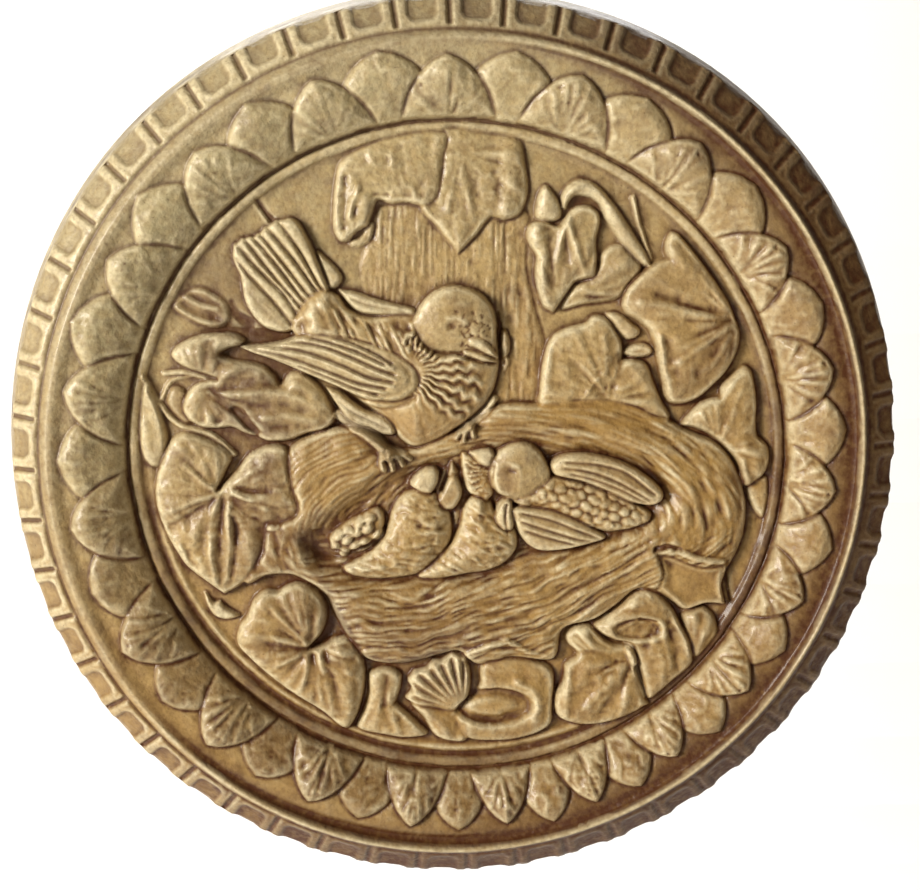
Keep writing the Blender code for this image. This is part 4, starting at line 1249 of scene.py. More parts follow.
def layNearWing():
    wing = layForm(
        [
            (-88, 45, 1), (-80, 46), (-72, 47), (-64, 49.5), (-56, 50.2), (-46, 49), (-36, 46.5), (-27, 43),
            (-20, 38.5), (-16.5, 34), (-16.5, 29.5), (-20, 25.5), (-26, 23), (-34, 23), (-42, 25.5),
            (-50, 29), (-58, 32.5), (-66, 36), (-75, 39.8), (-83, 42.5),
        ],
        8.2, 2.8, 7, 1.7, crease=0.9, green=0.25, pale=0.12, lean=(0.04, 0.0),
    )
    # Long flight feathers run from the shoulder to the wing's tip.
    feathers = [
        [(-62, 49.5), (-50, 46.5), (-40, 43), (-30, 38.5)],
        [(-70, 47.5), (-56, 46), (-44, 41.5), (-33, 36.5), (-26, 34)],
        [(-78, 46), (-62, 43.5), (-48, 38.5), (-36, 33), (-27, 31)],
        [(-84, 44.8), (-68, 41), (-54, 36), (-40, 30.5), (-30, 28.5)],
        [(-50, 48.8), (-42, 46.5), (-33, 42), (-27, 38.5)],
        [(-64, 37.5), (-52, 32.8), (-42, 28.5), (-33, 26)],
    ]
    layFeathers(feathers, wing, (0.7, 1), (-1.8, 0.5), (0.25, -1.3), (0.8, 1.1, 0.3))
    # The shoulder is ringed by a double line.
    shoulder = [(-36, 45), (-26, 40.5), (-21, 36.5), (-19.5, 32.5), (-21, 29), (-26, 26), (-34, 25.5)]
    layStroke(shoulder, 0.75, -1.0, (0.5, 0.6), wing, True)
    layStroke([(x * 0.93 - 2.4, z * 0.9 + 3.3) for x, z in shoulder], 0.7, -0.7, (0.4, 0.5), wing, True)
    layForm(
        [(-17, 26), (-20, 22.5), (-27, 20.3), (-34, 20.8), (-38, 23), (-32, 23.6), (-24, 23.2)],
        7.2, 0.8, 2, 1.2, crease=0.4,
    )
    lower = layForm(
        [
            (-53.5, 28, 1), (-48, 26.5), (-43, 22.5), (-38, 19), (-31, 16.5), (-27, 13), (-26, 9),
            (-30, 8.5), (-36, 11.5), (-43, 14.5), (-48, 19),
        ],
        5.6, 1.6, 3.5, 1.4, crease=0.8, pale=0.55, green=0.1,
    )
    layStroke([(-51, 25), (-44, 19), (-36, 15), (-29, 11.5)], 0.7, -1.2, (1, 0.6), lower, True, umber=0.5)
    layStroke([(-50, 22), (-43, 16.5), (-34, 12.5)], 0.6, 0.5, (1, 0.6), lower, True)


def layLegs():
    shank = [(-49, 17), (-43, 13), (-37, 9.5), (-32, 5), (-29, 1)]
    layStroke(shank, 4.6, -0.9, (0.7, 1), soft=True, umber=0.6)
    layStroke([(-29, 0), (-25, -3)], 4.6, -0.7, (1, 1), soft=True, umber=0.6)
    layStroke(shank, 2.8, 4.4, (0.8, 1), pale=0.85)
    for toe in (
        [(-31, 1), (-31.5, -2), (-30.5, -5.5)], [(-29, 0.5), (-27.5, -2.5), (-27, -5.5)],
        [(-28, 1.5), (-24.5, -0.5), (-23, -3.5)], [(-28, 2.5), (-23.5, 1.5), (-20, -1)],
    ):
        layStroke(toe, 1.45, 3.6, (1, 0.75), pale=0.85)
    layStroke([(9, 16), (2, 9)], 4.0, -0.6, (1, 1), soft=True, umber=0.5)
    layStroke([(14.5, 23), (12, 19.5), (8.5, 16), (4, 12.5)], 1.7, 2.8, (1, 0.9), pale=0.7)
    for toe in (
        [(4, 13), (1, 10.5), (-1, 7.5)], [(4.5, 12.5), (2.5, 9.5), (2, 6.5)], [(5.5, 13), (5.5, 10), (6, 8)],
    ):
        layStroke(toe, 1.2, 2.8, (1, 0.8), pale=0.7)


def layPebble(middle, size, angle, tall, pale=0.3):
    # One rounded nestling feather, a little longer than it is wide.
    a = math.radians(angle)
    along, across = np.array((math.cos(a), math.sin(a))), np.array((-math.sin(a), math.cos(a)))
    turn = np.radians(np.arange(0, 360, 30))
    ring = np.array(middle) + size * (np.outer(np.cos(turn), along) + 0.72 * np.outer(np.sin(turn), across))
    layForm(ring, 0.6 * tall, tall, 0.8 * size, 0.4 * size + 0.4, onTop=True, crease=0.35, pale=pale, rim=0)


def layNestlings():
    random = np.random.default_rng(31)
    chick = layFirstNestling(random)
    second = laySecondNestling()
    for k in range(6):
        line = [(3 + k, -33 - 2.4 * k), (8, -34.5 - 2.6 * k), (17 - k, -34 - 2.2 * k)]
        layStroke(line, 0.6, 0.35, (1, 0.6), second, True)
    for k in range(5):
        line = [(-26 + 1.5 * k, -36 - 2.6 * k), (-18, -36.5 - 2.8 * k), (-9, -35 - 2.4 * k)]
        layStroke(line, 0.6, 0.3, (1, 0.6), chick, True)
    layFledgling(random)
    print("young birds laid")


def layFirstNestling(random):
    # The first nestling, head up at the left, and its pebbled wing.
    layForm(
        [(-3, -2), (0, -8), (1, -18), (-4, -24), (-10, -18), (-9, -10), (-5, -5)],
        3.6, 1.2, 3, 1.6, umber=0.35,
    )
    chick = layForm(
        [
            (-19, -14), (-24, -16.5), (-27.5, -22), (-29, -28), (-31.5, -34), (-36, -39.5), (-43, -43.5),
            (-48, -46.5), (-45, -50), (-36, -52), (-24, -51.5), (-14, -49), (-7, -42.5), (-3, -35),
            (-3, -26), (-6, -18.5), (-12, -14),
        ],
        3.4, 5.8, 13, 2.2, roundness=0.75, crease=0.9, green=0.3, crinkle=1.3, streaks=(170, 1.2, 2.6, 1.2),
        rim=0,
    )
    layForm(
        [
            (-53, -33), (-47, -28), (-40, -24), (-33, -21.5), (-30.5, -26), (-32, -32), (-38, -37),
            (-46, -40), (-52, -38),
        ],
        4.2, 1.6, 5, 1.5, crease=0.8,
    )
    for row, (place, start, count) in enumerate(((3.4, -8.5, 4), (-0.6, -11, 4), (-4.6, -9, 4))):
        for i in range(count):
            along, across = start + 5.0 * i + random.uniform(-0.9, 0.9), place + random.uniform(-0.9, 0.9)
            middle = (-41.5 + 0.88 * along - 0.47 * across, -31.5 + 0.47 * along + 0.88 * across)
            layPebble(middle, random.uniform(2.5, 3.3) - 0.2 * row, random.uniform(10, 60), 1.4, 0.5)
    layStroke([(-48, -41), (-40, -41), (-33, -36), (-30, -30)], 0.9, -1.2, (0.8, 1), umber=0.6)
    layForm(
        [(-19.5, -12.5), (-18.5, -8.5), (-14.5, -5), (-10, -4.5), (-8, -7), (-9, -12), (-12, -15.5)],
        7.0, 2.2, 4, 1.5, crease=0.8, pale=0.25,
    )
    layForm(
        [(-8.5, -18), (-6, -12), (-2.5, -8), (0, -10), (1.5, -16), (-2, -22), (-6, -22)],
        5.2, 1.4, 3, 1.5, crease=0.8, umber=0.2,
    )
    layStroke([(-7, -14), (-5, -8), (-3.5, -2.5)], 1.1, -2.2, (1, 0.7), umber=0.9)
    layEye((-17.5, -28), 1.9)
    return chick


def laySecondNestling():
    # The second nestling, its beak turned up at the right.
    second = layForm(
        [
            (5.5, -17), (2, -21.5), (0, -30), (-4, -37.5), (-11, -44.5), (-17, -51), (-8, -52), (2, -50.5),
            (12, -49), (20, -45), (24.5, -38.5), (23.5, -30), (20, -25), (15, -22.5), (13, -19),
            (9.5, -16.5),
        ],
        3.8, 5.8, 12, 2.2, roundness=0.75, crease=0.9, green=0.3, crinkle=1.2, streaks=(150, 1.2, 3.4, 1.3),
        rim=0,
    )
    layForm(
        [
            (15, -25), (16, -20.5), (18.5, -17.8), (21.5, -18), (22.5, -23), (22.5, -30), (18.5, -31),
            (16, -28.5),
        ],
        7.4, 1.6, 3, 1.3, crease=0.7, pale=0.15,
    )
    layStroke([(19.5, -20), (19, -26), (20, -33)], 0.7, -1.2, (1, 0.6), umber=0.5)
    layEye((8.8, -26), 1.9)
    return second


def layFledgling(random):
    throat = layForm(
        [(1, 1), (6, 0), (11, -2), (14, -8), (14.5, -15), (12, -19), (8, -17.5), (4, -15.5), (2, -9)],
        4.4, 1.4, 5, 1.6, crease=0.7,
    )
    layRuffle(throat, (6, 8), 2.2, 2.2, 1.5, 48)
    back = smoothLine(
        [
            (28, -4), (38, -8), (50, -11), (62, -15), (72, -19.5), (80, -25), (77, -29.5), (69, -32),
            (60, -32.5), (46, -27.5), (33, -22.5), (24, -21), (20, -15),
        ],
    )
    layForm(back, 4.8, 4.0, 10, 1.8, roundness=0.8, crease=0.8, crinkle=0.8)
    for i in range(14):
        for k in range(-3, 4):
            along = 25 + 4.4 * i + 2.2 * (k % 2) + random.uniform(-0.9, 0.9)
            across = 3.7 * k + random.uniform(-0.7, 0.7)
            middle = np.array([[along + 0.35 * across], [-12 - 0.36 * (along - 26) + 0.94 * across]])
            if insideDistance(back, *middle)[0] > 0.8:
                size = random.uniform(2.3, 3.1) * (1.2 if along < 36 else 1)
                layPebble(middle[:, 0], size, random.uniform(-60, 20), 0.42, 0.12)
    layFledglingWings()
    layFledglingHead()


def layFledglingWings():
    upper = layForm(
        [
            (37.5, -4), (40, -1), (45, 0.8), (53, 1), (62, -1), (71, -4.5), (79, -10), (84.5, -16),
            (83.5, -19.5), (79, -21.5), (72, -20), (62, -15.5), (52, -11.5), (44, -9.5), (39, -8),
        ],
        8.0, 1.8, 4.5, 1.5, crease=0.9, pale=0.12, green=0.1,
    )
    feathers = [
        [(44, -2.5), (56, -3.5), (68, -7), (80, -16)], [(43, -5), (55, -7), (66, -11.5), (78, -18.5)],
        [(46, -7.5), (57, -10.5), (68, -15), (77, -20)],
    ]
    layFeathers(feathers, upper, (0.8, 1), (-1.2, 0.3), (0.2, 1.3), (0.8, 0.7, 0))
    lower = layForm(
        [
            (22, -21.5), (29, -21.5), (38, -23), (46, -26), (54, -30), (61, -34.5), (56, -37), (46, -39.5),
            (35, -40.5), (29, -38), (25, -33), (22.5, -27),
        ],
        6.6, 1.9, 5, 1.5, crease=0.9, pale=0.15,
    )
    feathers = [
        [(26, -24), (38, -27), (48, -31), (58, -35)], [(26, -27.5), (36, -31), (47, -34.5), (56, -36.5)],
        [(28, -31.5), (37, -34.5), (48, -37.5)],
    ]
    layFeathers(feathers, lower, (0.8, 1), (-1.1, 0.3), (0.1, 1.2), (0.75, 0.6, 0))


def layFledglingHead():
    layForm(
        [(4, 1.5, 1), (8, 2.8), (13, 3), (15, 0), (13, -4.5), (9, -3.5)],
        6.2, 1.4, 3, 1.4, crease=0.8, pale=0.2,
    )
    head = layForm(
        [
            (12.5, -9), (13, -3), (16, 2), (21, 5.2), (27, 5.8), (32, 3.4), (35.5, -1.5), (38, -8),
            (34, -13), (28, -17), (21, -18), (15, -15),
        ],
        5.8, 4.0, 11, 1.9, roundness=0.75, crease=0.7, green=0.4, pale=0.12, crinkle=0.5,
    )
    # The face is a sunk brown patch inside a fine ring, with a bright eye over a dark mark.
    layStroke(
        [(19.8, -5.5), (19.4, -10), (19.8, -13.5)], 3.4, -0.5, (1, 1), head, True, umber=0.4, green=0.1,
    )
    ring = [
        (25, -12.5), (25.2, -7.5), (23.8, -3.6), (19.5, -2.4), (16, -3.6), (14.9, -8.5), (15.8, -13.6),
        (19.5, -16),
    ]
    layStroke(ring, 0.75, 0.4, (1, 1), head, True)
    layStroke(
        [(14.3, -4), (14.1, -11), (16.8, -15.8), (22.5, -16.8)],
        0.5, -0.8, (1, 0.7), head, True, umber=0.3,
    )
    layStroke([(20.6, -5.8), (22.6, -6.1)], 0.9, -0.9, (1, 0.8), soft=True, umber=0.9)
    layStroke([(22, -3.6), (23, -3.9)], 0.9, 0.8, (1, 0.8), soft=True, pale=0.7)
    layStroke([(5.2, 3.4), (9, 4.6), (13.6, 3.9)], 1.0, -1.0, (0.5, 1), umber=0.85)


waves = np.fft.fftfreq(len(axis), plate["cell"])
waveSquared = waves[:, None] ** 2 + np.fft.rfftfreq(len(axis), plate["cell"])[None, :] ** 2


def blurred(field, width):
    # The field softened over a width in millimetres.
    soft = np.exp(-2 * math.pi**2 * width**2 * waveSquared)
    return np.fft.irfft2(np.fft.rfft2(field) * soft, field.shape)


def drawRelief():
    turnBody()
    cutRim()
    layBorderLeaves()
    layStems()
    layFoliage(foliageBehind)
    layNest()
    layLowerDetails(layFoliage(foliageInFront))
    layParentBird()
    layNestlings()
    # The hand-pressed clay is never quite flat, and the glaze softens every edge.
    rough = 0.25 + 0.75 * smoothStep(166, 150, gridRadius)
    uneven = 0.6 * (cloud(gridX / 13, gridZ / 13, 1) - 0.5)
    height[:] += uneven + 0.55 * rough * (cloud(gridX / 3.8, gridZ / 3.8, 2) - 0.5)
    height[:] = blurred(height, 0.28)


def tintRelief():
    # Glaze runs thin off raised edges and gathers brown in the hollows; on top of this, hollows get painted
    # shade on sides away from the lamp and edges a painted highlight on sides facing it.
    fine, broad = (height - blurred(height, width) for width in (0.8, 2.2))
    facing = facingShadeSide(blurred(height, 1.2))
    hollow = 0.75 * np.clip(-fine / 0.3 - 0.1, 0, 1) + 0.5 * np.clip(-broad / 0.9 - 0.2, 0, 1)
    # Painted shade: hollows facing away from the lamp are darker.
    hollow *= 0.55 + 0.45 * smoothStep(-0.45, 0.05, facing)
    raised = 0.6 * np.clip(fine / 0.25 - 0.1, 0, 1) + 0.35 * np.clip(broad / 1.0, 0, 1)
    # Painted highlight: raised edges facing the lamp are paler.
    raised *= 0.85 + 0.45 * smoothStep(0.0, -0.5, facing)
    patch = cloud(gridX / 9, gridZ / 9, 4)
    blotch = cloud(gridX / 3.4, gridZ / 3.4, 6) * cloud(gridX / 11, gridZ / 11, 7)
    # Towards the upper left the tint turns greener and paler; a broad darker band crosses the nest's left,
    # and the foot is darker.
    cool = (0.89 * gridZ - 0.45 * gridX) / 165
    course = smoothLine(
        [(-94, 74), (-88, 40), (-84, 4), (-76, -34), (-60, -60), (-36, -78), (-2, -76)],
        closed=False,
    )
    gap, _ = strokeDistance(course, gridX, gridZ)
    darkening = 0.46 * bump(gap, 19) + 0.12 * smoothStep(-95, -140, gridZ)
    pooledAndShade = hollow * (0.6 + 0.8 * patch) + 0.9 * paint["umber"] + 0.9 * np.clip(blotch - 0.3, 0, 1) + darkening
    wornAndHighlight = raised * (0.5 + 0.8 * patch) + paint["pale"] + 0.14 * np.clip(cool, 0, 1)
    return {
        "green": np.clip(paint["green"] + 0.6 * np.clip(cool, 0, 1) - 0.2 * np.clip(-cool, 0, 1), 0, 1),
        "pooledAndShade": np.clip(pooledAndShade, 0, 1),
        "wornAndHighlight": np.clip(wornAndHighlight, 0, 1) * (1 - 0.8 * np.clip(paint["umber"], 0, 1)),
        "straw": np.clip(paint["straw"] + 0.6 * sector(170, -0.3, 0.8), 0, 1),
    }


def sample(field, x, z):
    # Reads a field between its samples.
    u, v = (x + reach) / plate["cell"], (z + reach) / plate["cell"]
    left, low = np.floor(u).astype(int), np.floor(v).astype(int)
    return between([[field[low + j, left + i] for i in (0, 1)] for j in (0, 1)], u - left, v - low)


def notched(x, z):
    # The cups bite into the outer edge, which leaves it lightly scalloped; the side behind is plain.
    radius = np.hypot(x, z)
    edge = smoothStep(173, 180, radius) * smoothStep(183.4, 181.4, radius)
    bite = plate["edgeNotch"] * smoothStep(-0.5, 3.5, cupDistance(x, z)[0]) * edge
    # The plate also measures a little less across than from top to bottom.
    across, up = x / np.maximum(radius, 1), z / np.maximum(radius, 1)
    swell = 1.3 * across**6 - 0.4 * np.clip(0.68 * across + 0.73 * up, 0, 1) ** 8 * 2
    swell = swell - 0.5 * (2 * across * up) ** 2
    bite = bite + swell * smoothStep(173, 181, radius)
    shrink = 1 - bite / np.maximum(radius, 1)
    return np.column_stack((x * shrink, z * shrink))


def frontRings(rings):
    # Ring k holds 8k points, so the cells stay even from the centre to the edge.
    points, faces = [np.zeros((1, 2))], []
    first = 1
    inner = np.zeros(1, int)
    for k in range(1, rings + 1):
        turn = math.tau * np.arange(8 * k) / (8 * k)
        radius = plate["radius"] * k / rings
        points.append(notched(radius * np.cos(turn), radius * np.sin(turn)))
        outer = first + np.arange(8 * k)
        first += 8 * k
        for side in range(4):
            edge = outer[(side * 2 * k + np.arange(2 * k + 1)) % (8 * k)]
            if k == 1:
                faces.append(np.array([[outer[side * 2 - 1], edge[0], edge[1], 0]]))
                continue
            near = inner[(side * 2 * (k - 1) + np.arange(2 * k - 1)) % (8 * (k - 1))]
            faces.append(np.column_stack((edge[1:-2], edge[2:-1], near[1:], near[:-1])))
            faces.append(np.array([[outer[(side * 2 * k - 1) % (8 * k)], edge[0], edge[1], near[0]]]))
        inner = outer
    return np.vstack(points), np.vstack(faces), inner


def backProfile():
    # Radius and height above the wall, from the edge's front corner round to the back's centre.
    ringOut = plate["footRingRadius"] + plate["footRingWidth"] / 2
    ringIn = plate["footRingRadius"] - plate["footRingWidth"] / 2
    depth, flare, low = plate["footRingDepth"], plate["skirtRadius"], plate["skirtHeight"]
    return [
        (181.4, 20.4), (182, 19.4), (182.8, 16.4), (flare - 2, 11), (flare - 0.5, low + 3),
        (flare, low + 1.4), (flare - 0.3, low + 0.4), (flare - 1.4, low), (flare - 3.6, low + 0.2),
        (180, 8), (177.6, 13), (174.5, 17.4), (171, 19.8), (167, 21.8), (160, 20), (147, 16), (133, 12.4),
        (118, 11), (ringOut + 3, depth), (ringOut + 0.8, depth - 0.3), (ringOut, depth - 1.4),
        (ringOut, 0.9), (ringOut - 0.4, 0.2), (ringOut - 1.2, 0), (ringIn + 1.2, 0), (ringIn + 0.4, 0.2),
        (ringIn, 0.9), (ringIn, depth - 1.4), (ringIn - 0.8, depth - 0.3), (ringIn - 3, depth), (70, depth),
        (45, depth), (22, depth),
    ]


def plateMesh():
    spots, quads, rim = frontRings(plate["rings"])
    front = sample(height, spots[:, 0], spots[:, 1]) + plate["ground"]
    points = [np.column_stack((spots, front))]
    faces = [quads]
    first = len(spots)
    steps = len(rim) // 4
    turn = math.tau * np.arange(steps) / steps
    last = None
    for radius, out in backProfile():
        spots = np.column_stack((radius * np.cos(turn), radius * np.sin(turn)))
        spots = notched(*spots.T)
        points.append(np.column_stack((spots, np.full(steps, out))))
        ring = first + np.arange(steps)
        after = np.roll(ring, -1)
        if last is None:
            fine = rim.reshape(steps, 4)
            corner = np.roll(fine[:, 0], -1)
            faces.append(np.column_stack((fine[:, 1], fine[:, 0], ring, ring)))
            faces.append(np.column_stack((fine[:, 2], fine[:, 1], ring, ring)))
            faces.append(np.column_stack((fine[:, 3], fine[:, 2], ring, after)))
            faces.append(np.column_stack((corner, fine[:, 3], after, after)))
        else:
            faces.append(np.column_stack((np.roll(last, -1), last, ring, after)))
        last = ring
        first += steps
    points.append(np.array([[0, 0, plate["footRingDepth"]]]))
    faces.append(np.column_stack((np.roll(last, -1), last, np.full(steps, first), np.full(steps, first))))
    return np.vstack(points), np.vstack(faces)


def addObject(name, data):
    thing = bpy.data.objects.new(name, data)
    bpy.context.scene.collection.objects.link(thing)
    return thing


def addMesh(name, points, faces):
    mesh = bpy.data.meshes.new(name)
    mesh.from_pydata(points, [], faces)
    return addObject(name, mesh)


def makePlate():
    points, faces = plateMesh()
    corners = [face if face[2] != face[3] else face[:3] for face in faces.tolist()]
    world = np.column_stack((points[:, 0], -points[:, 2], points[:, 1])) / 1000 + hub
    piece = addMesh("wallPlate", world.tolist(), corners)
    drawn = piece.data
    print("mesh drawn:", len(points), "points")
    thin = piece.modifiers.new("thin", "DECIMATE")
    thin.ratio = plate["triangles"] / (2 * len(faces))
    thin.use_collapse_triangulate = True
    cutters = [holeCutter(side) for side in (-1, 1)]
    for cutter in cutters:
        cut = piece.modifiers.new("hangingHole", "BOOLEAN")
        cut.operation = "DIFFERENCE"
        cut.solver = "EXACT"
        cut.object = cutter
    graph = bpy.context.evaluated_depsgraph_get()
    made = bpy.data.meshes.new_from_object(piece.evaluated_get(graph))
    piece.modifiers.clear()
    piece.data = made
    made.name = "wallPlate"
    bpy.data.meshes.remove(drawn)
    for cutter in cutters:
        bpy.data.objects.remove(cutter, do_unlink=True)
    print("mesh thinned:", len(made.polygons), "faces")
    return piece


def holeCutter(side):
    # A wire for hanging goes through the foot ring here.
    turn = math.radians(side * plate["holeTurn"])
    sides = 24
    out = np.array((math.sin(turn), 0, math.cos(turn)))
    across = np.array((math.cos(turn), 0, -math.sin(turn)))
    middle = out * plate["footRingRadius"] + np.array((0, -plate["footRingDepth"] / 2, 0))
    points = []
    for end in (-12, 12):
        for i in range(sides):
            a = math.tau * i / sides
            spoke = across * math.cos(a) + np.array((0, 1, 0)) * math.sin(a)
            points.append(tuple((middle + out * end + spoke * plate["holeRadius"]) / 1000 + hub))
    faces = [(i, (i + 1) % sides, sides + (i + 1) % sides, sides + i) for i in range(sides)]
    faces += [tuple(range(sides))[::-1], tuple(range(sides, 2 * sides))]
    return addMesh("hangingHole", points, faces)


def readMesh(items, name, width=3, kind=np.float32):
    # One row of values for each vertex, corner or face of a mesh.
    values = np.empty(len(items) * width, kind)
    items.foreach_get(name, values)
    return values.reshape(-1, width)


def finishPlate(piece, tints):
    mesh = piece.data
    spots = readMesh(mesh.vertices, "co") * 1000
    x, z, out = spots[:, 0] - 1000 * hub[0], spots[:, 2] - 1000 * hub[2], -spots[:, 1]
    radius = np.hypot(x, z)
    surface = sample(height, x, z) + plate["ground"]
    isFront = (np.abs(out - surface) < 0.8) & (radius < plate["radius"] - 1.6)
    smoothPlate(mesh, x, z, isFront)
    tintPlate(mesh, x, z, out, radius, isFront, tints)
    unfoldPlate(mesh, x, z, out, radius, isFront)
    mesh.update()


def smoothPlate(mesh, x, z, isFront):
    # Normals come from the height samples, so reflections stay smooth on a thinned mesh.
    slopeZ, slopeX = np.gradient(height, plate["cell"])
    normals = readMesh(mesh.vertices, "normal")
    drawn = np.column_stack((-sample(slopeX, x, z), -np.ones(len(x)), -sample(slopeZ, x, z)))
    drawn /= np.linalg.norm(drawn, axis=1)[:, None]
    normals[isFront] = drawn[isFront]
    mesh.polygons.foreach_set("use_smooth", np.ones(len(mesh.polygons), bool))
    mesh.normals_split_custom_set_from_vertices(normals.tolist())


def tintPlate(mesh, x, z, out, radius, isFront, tints):
    # The plain side takes its tint from the rim beside it; the back has none of its own.
    values = np.zeros((len(x), 4), np.float32)
    inward = np.minimum(1, plate["sideTint"] / np.maximum(radius, 1))
    tinted = isFront | (radius > plate["sideStart"])
    for channel, name in enumerate(("green", "pooledAndShade", "wornAndHighlight", "straw")):
        values[:, channel] = np.where(tinted, sample(tints[name], x * inward, z * inward), 0.0)
    shelf = np.where(~tinted & (out < plate["footRingDepth"] + 0.5), 0.25, 0.0)
    values[:, 1] += shelf.astype(np.float32)
    mesh.attributes.new("glazeMix", "FLOAT_COLOR", "POINT").data.foreach_set("color", values.ravel())


bakeMap = {  # two discs on the texture: middle and radius there, and millimetres on the plate
    "front": (0.45, 0.44, 200),
    "back": (0.873, 0.122, 187),
}


def unfoldPlate(mesh, x, z, out, radius, isFront):
    # One map: the front as a disc with the edge folded out round it, and the back as a smaller disc.
    layer = mesh.uv_layers.new(name="OFBake")
    corner = readMesh(mesh.loops, "vertex_index", 1, np.int32).ravel()
    faceNormals = readMesh(mesh.polygons, "normal")
    lengths = readMesh(mesh.polygons, "loop_total", 1, np.int32).ravel()
    middles = readMesh(mesh.polygons, "center") * 1000 - 1000 * hub
    inner = (np.hypot(middles[:, 0], middles[:, 2]) < 150) & (-middles[:, 1] < 15.0)
    behind = np.repeat((faceNormals[:, 1] > 0.2) | inner, lengths)
    beyond = np.hypot(radius - plate["radius"], np.minimum(out - 21, 0))
    folded = np.where(isFront, radius, plate["radius"] + beyond)
    unit = np.column_stack((x, z)) / np.maximum(radius, 1e-6)[:, None]
    middle, size, span = bakeMap["front"]
    front = unit * (folded / span * size)[:, None] + middle
    middle, size, span = bakeMap["back"]
    back = unit * (radius / span * size)[:, None] * (-1, 1) + middle
    spots = np.where(behind[:, None], back[corner], front[corner])
    layer.data.foreach_set("uv", spots.astype(np.float32).ravel())


def linear(hexColour):
    # An sRGB hex colour as linear light, with full alpha.
    parts = [int(hexColour[i : i + 2], 16) / 255 for i in (1, 3, 5)]
    return (*(p / 12.92 if p <= 0.04045 else ((p + 0.055) / 1.055) ** 2.4 for p in parts), 1.0)


def addNode(tree, kind, values=None, links=None, **settings):
    node = tree.nodes.new(kind)
    for name, value in settings.items():
        setattr(node, name, value)
    for socket, value in (values or {}).items():
        node.inputs[socket].default_value = value
    for socket, source in (links or {}).items():
        tree.links.new(source, node.inputs[socket])
    return node


glaze = {
    "honey": "#BD9E66",  # thin glaze over buff clay
    "amber": "#A68450",
    "leaf": "#B2A67D",  # the same glaze with copper in it
    "straw": "#A98649",
    # The deep brown stands for gathered glaze and painted shade, the pale cream for thin worn glaze and
    # painted highlights.
    "pooledAndShade": "#532F17",
    "wornAndHighlight": "#E8DCB6",
    "speck": "#43290F",
    "roughness": 0.4,
    "patchSize": 26.0,  # millimetres
    "mottleSize": 3.2,
    "speckSize": 0.9,
    "skinSize": 2.2,  # the glaze's orange-peel skin
    "grainSize": 2.0,
    "spread": {  # noise low and high
        "patch": (0.38, 0.66), "mottle": (0.28, 0.66), "speck": (0.69, 0.8), "grain": (0.42, 0.68),
    },
}


def glazedEarthenware():
    # Press-moulded earthenware under a lead-type glaze: a wet soft gloss, brown where it is deep and where
    # shade is painted, pale cream where it is thin and where highlights are painted.
    material = bpy.data.materials.new("glazedEarthenware")
    material.use_nodes = True
    tree = material.node_tree
    tree.nodes.clear()
    place = addNode(tree, "ShaderNodeTexCoord").outputs["Object"]
    noises = {}
    for name, detail in (("patch", 3.0), ("mottle", 4.0), ("speck", 1.0), ("grain", 2.0), ("skin", 4.0)):
        scale = 1000 / glaze[name + "Size"]  # the noise repeats once over its size in millimetres
        node = addNode(tree, "ShaderNodeTexNoise", {"Scale": scale, "Detail": detail}, {"Vector": place})
        noises[name] = node.outputs["Fac"]
    low, high = glaze["roughness"] - 0.05, glaze["roughness"] + 0.1
    span = {"From Min": 0.3, "From Max": 0.7, "To Min": low, "To Max": high}
    rough = addNode(tree, "ShaderNodeMapRange", span, {"Value": noises["mottle"]}).outputs["Result"]
    ripple = addNode(
        tree, "ShaderNodeBump", {"Strength": 0.6, "Distance": 0.0008}, {"Height": noises["skin"]},
    )
    shader = addNode(
        tree, "ShaderNodeBsdfPrincipled",
        {"IOR": 1.52, "Specular IOR Level": 0.3, "Coat Weight": 0.18, "Coat Roughness": 0.16},
        {"Base Color": glazeColour(tree, noises), "Roughness": rough, "Normal": ripple.outputs["Normal"]},
    )
    addNode(tree, "ShaderNodeOutputMaterial", links={"Surface": shader.outputs["BSDF"]})
    return material


def glazeColour(tree, noises):
    # Each tint lies over the ones before it, by its share of the glaze and a noise.
    mixed = addNode(tree, "ShaderNodeAttribute", attribute_name="glazeMix")
    parts = addNode(tree, "ShaderNodeSeparateColor", links={"Color": mixed.outputs["Color"]})
    colour = None
    for share, noise, thin, thick, over in (
        (None, "patch", 0.0, 1.0, "amber"),
        (parts.outputs["Red"], "mottle", 0.6, 1.0, "leaf"),
        (mixed.outputs["Alpha"], "mottle", 0.5, 0.9, "straw"),
        (parts.outputs["Green"], "mottle", 0.75, 1.1, "pooledAndShade"),
        (parts.outputs["Blue"], "mottle", 0.5, 0.95, "wornAndHighlight"),
        (None, "grain", 0.0, 0.26, "pooledAndShade"),
        (None, "speck", 0.0, 0.5, "speck"),
    ):
        low, high = glaze["spread"][noise]
        span = {"From Min": low, "From Max": high, "To Min": thin, "To Max": thick}
        weight = addNode(tree, "ShaderNodeMapRange", span, {"Value": noises[noise]}).outputs["Result"]
        if share is not None:
            product = addNode(tree, "ShaderNodeMath", links={0: share, 1: weight}, operation="MULTIPLY")
            weight = product.outputs[0]
        layer = addNode(tree, "ShaderNodeMix", {7: linear(glaze[over])}, {0: weight}, data_type="RGBA")
        if colour is None:
            layer.inputs[6].default_value = linear(glaze["honey"])
        else:
            tree.links.new(colour, layer.inputs[6])
        colour = layer.outputs[2]
    return colour


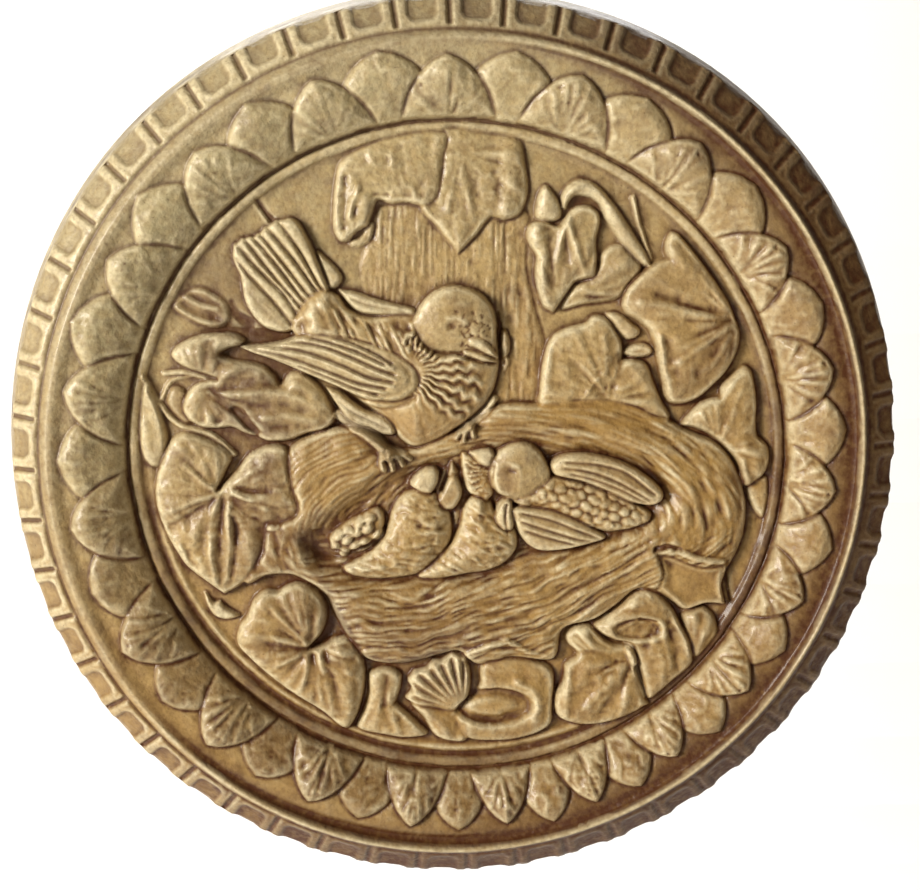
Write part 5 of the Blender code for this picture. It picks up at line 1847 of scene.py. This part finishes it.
room = {
    "paper": "#FCFCFB",
    "fill": "#FFE6C4",
    "world": 0.14,
    "keyTurn": 285.0,  # degrees clockwise from the top of the plate
    "keyLift": 38.0,  # degrees out of the plate's own plane
    "keyDistance": 2.2,
    "keySize": 0.68,
    "keyPower": 56.5,
    "backdropPower": 15.8,
    "floorPower": 10.6,
    "paperStart": 1.0,  # metres behind the plate, where the paper starts to curve up
    "paperCurve": 0.7,
    "paperHalfWidth": 5.0,
    "paperDrop": 0.5,  # the floor below the plate
    "lens": 57.5,
    "distance": 0.6,
    "azimuth": -2.5,
    "elevation": 10.0,
    "aim": (0.0005, -0.022, 0.0044),  # from the plate's centre
}


def areaLight(name, place, aim, size, power, colour):
    light = bpy.data.lights.new(name, "AREA")
    light.energy, light.size, light.color = power, size, linear(colour)[:3]
    lamp = addObject(name, light)
    lamp.location = place
    lamp.rotation_euler = (Vector(aim) - Vector(place)).to_track_quat("-Z", "Y").to_euler()


def mattPaper():
    # A plain backdrop paper with no gloss of its own.
    material = bpy.data.materials.new("mattPaper")
    material.use_nodes = True
    shader = material.node_tree.nodes["Principled BSDF"]
    shader.inputs["Base Color"].default_value = linear(room["paper"])
    shader.inputs["Roughness"].default_value = 0.9
    return material


def layPaper():
    # A sheet of paper sweeps from the floor up behind the plate.
    start, curve, steps = room["paperStart"], room["paperCurve"], 8
    low = lowCorner[2] - room["paperDrop"]
    sweep = [(-4.0, low), (start, low)]
    for step in range(1, steps + 1):
        a = math.radians(90 * step / steps)
        sweep.append((start + curve * math.sin(a), low + curve * (1 - math.cos(a))))
    sweep.append((start + curve, 3.5))
    points = [(x, y, z) for y, z in sweep for x in (-room["paperHalfWidth"], room["paperHalfWidth"])]
    faces = [(2 * i, 2 * i + 1, 2 * i + 3, 2 * i + 2) for i in range(len(sweep) - 1)]
    floor = addMesh("paperSweep", points, faces)
    floor.data.materials.append(mattPaper())


def lightRoom():
    world = bpy.data.worlds.new("softRoom")
    world.use_nodes = True
    background = world.node_tree.nodes["Background"]
    background.inputs["Color"].default_value = linear(room["fill"])
    background.inputs["Strength"].default_value = room["world"]
    bpy.context.scene.world = world
    centre = Vector(hub + (0, -0.02, 0))
    turn, lift = math.radians(room["keyTurn"]), math.radians(room["keyLift"])
    away = Vector((math.sin(turn) * math.cos(lift), -math.sin(lift), math.cos(turn) * math.cos(lift)))
    place = centre + away * room["keyDistance"]
    areaLight("windowLight", place, centre, room["keySize"], room["keyPower"], "#FFF8EE")
    # Two lamps behind the plate light only the paper.
    areaLight("backdropLight", (0, 0.5, -0.1), (0, 1.7, -0.1), 2.2, room["backdropPower"], "#FFFFFF")
    areaLight("floorLight", (0, 1.3, 0.9), (0, 0.45, -0.28), 1.2, room["floorPower"], "#FFFFFF")
    bpy.context.scene.view_settings.view_transform = "Standard"


def setCamera():
    camera = bpy.data.cameras.new("camera")
    camera.lens, camera.sensor_width = room["lens"], 36.0
    holder = addObject("camera", camera)
    a, e = math.radians(room["azimuth"]), math.radians(room["elevation"])
    back = Vector((math.sin(a) * math.cos(e), -math.cos(a) * math.cos(e), math.sin(e)))
    holder.location = Vector(hub + room["aim"]) + back * room["distance"]
    holder.rotation_euler = (-back).to_track_quat("-Z", "Y").to_euler()
    bpy.context.scene.camera = holder


setCamera()
layPaper()
lightRoom()
drawRelief()
tints = tintRelief()
wallPlate = makePlate()
finishPlate(wallPlate, tints)
wallPlate.data.materials.append(glazedEarthenware())
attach(wallPlate, "root")
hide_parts("wall_plate")
print("plate finished:", len(wallPlate.data.polygons), "faces")
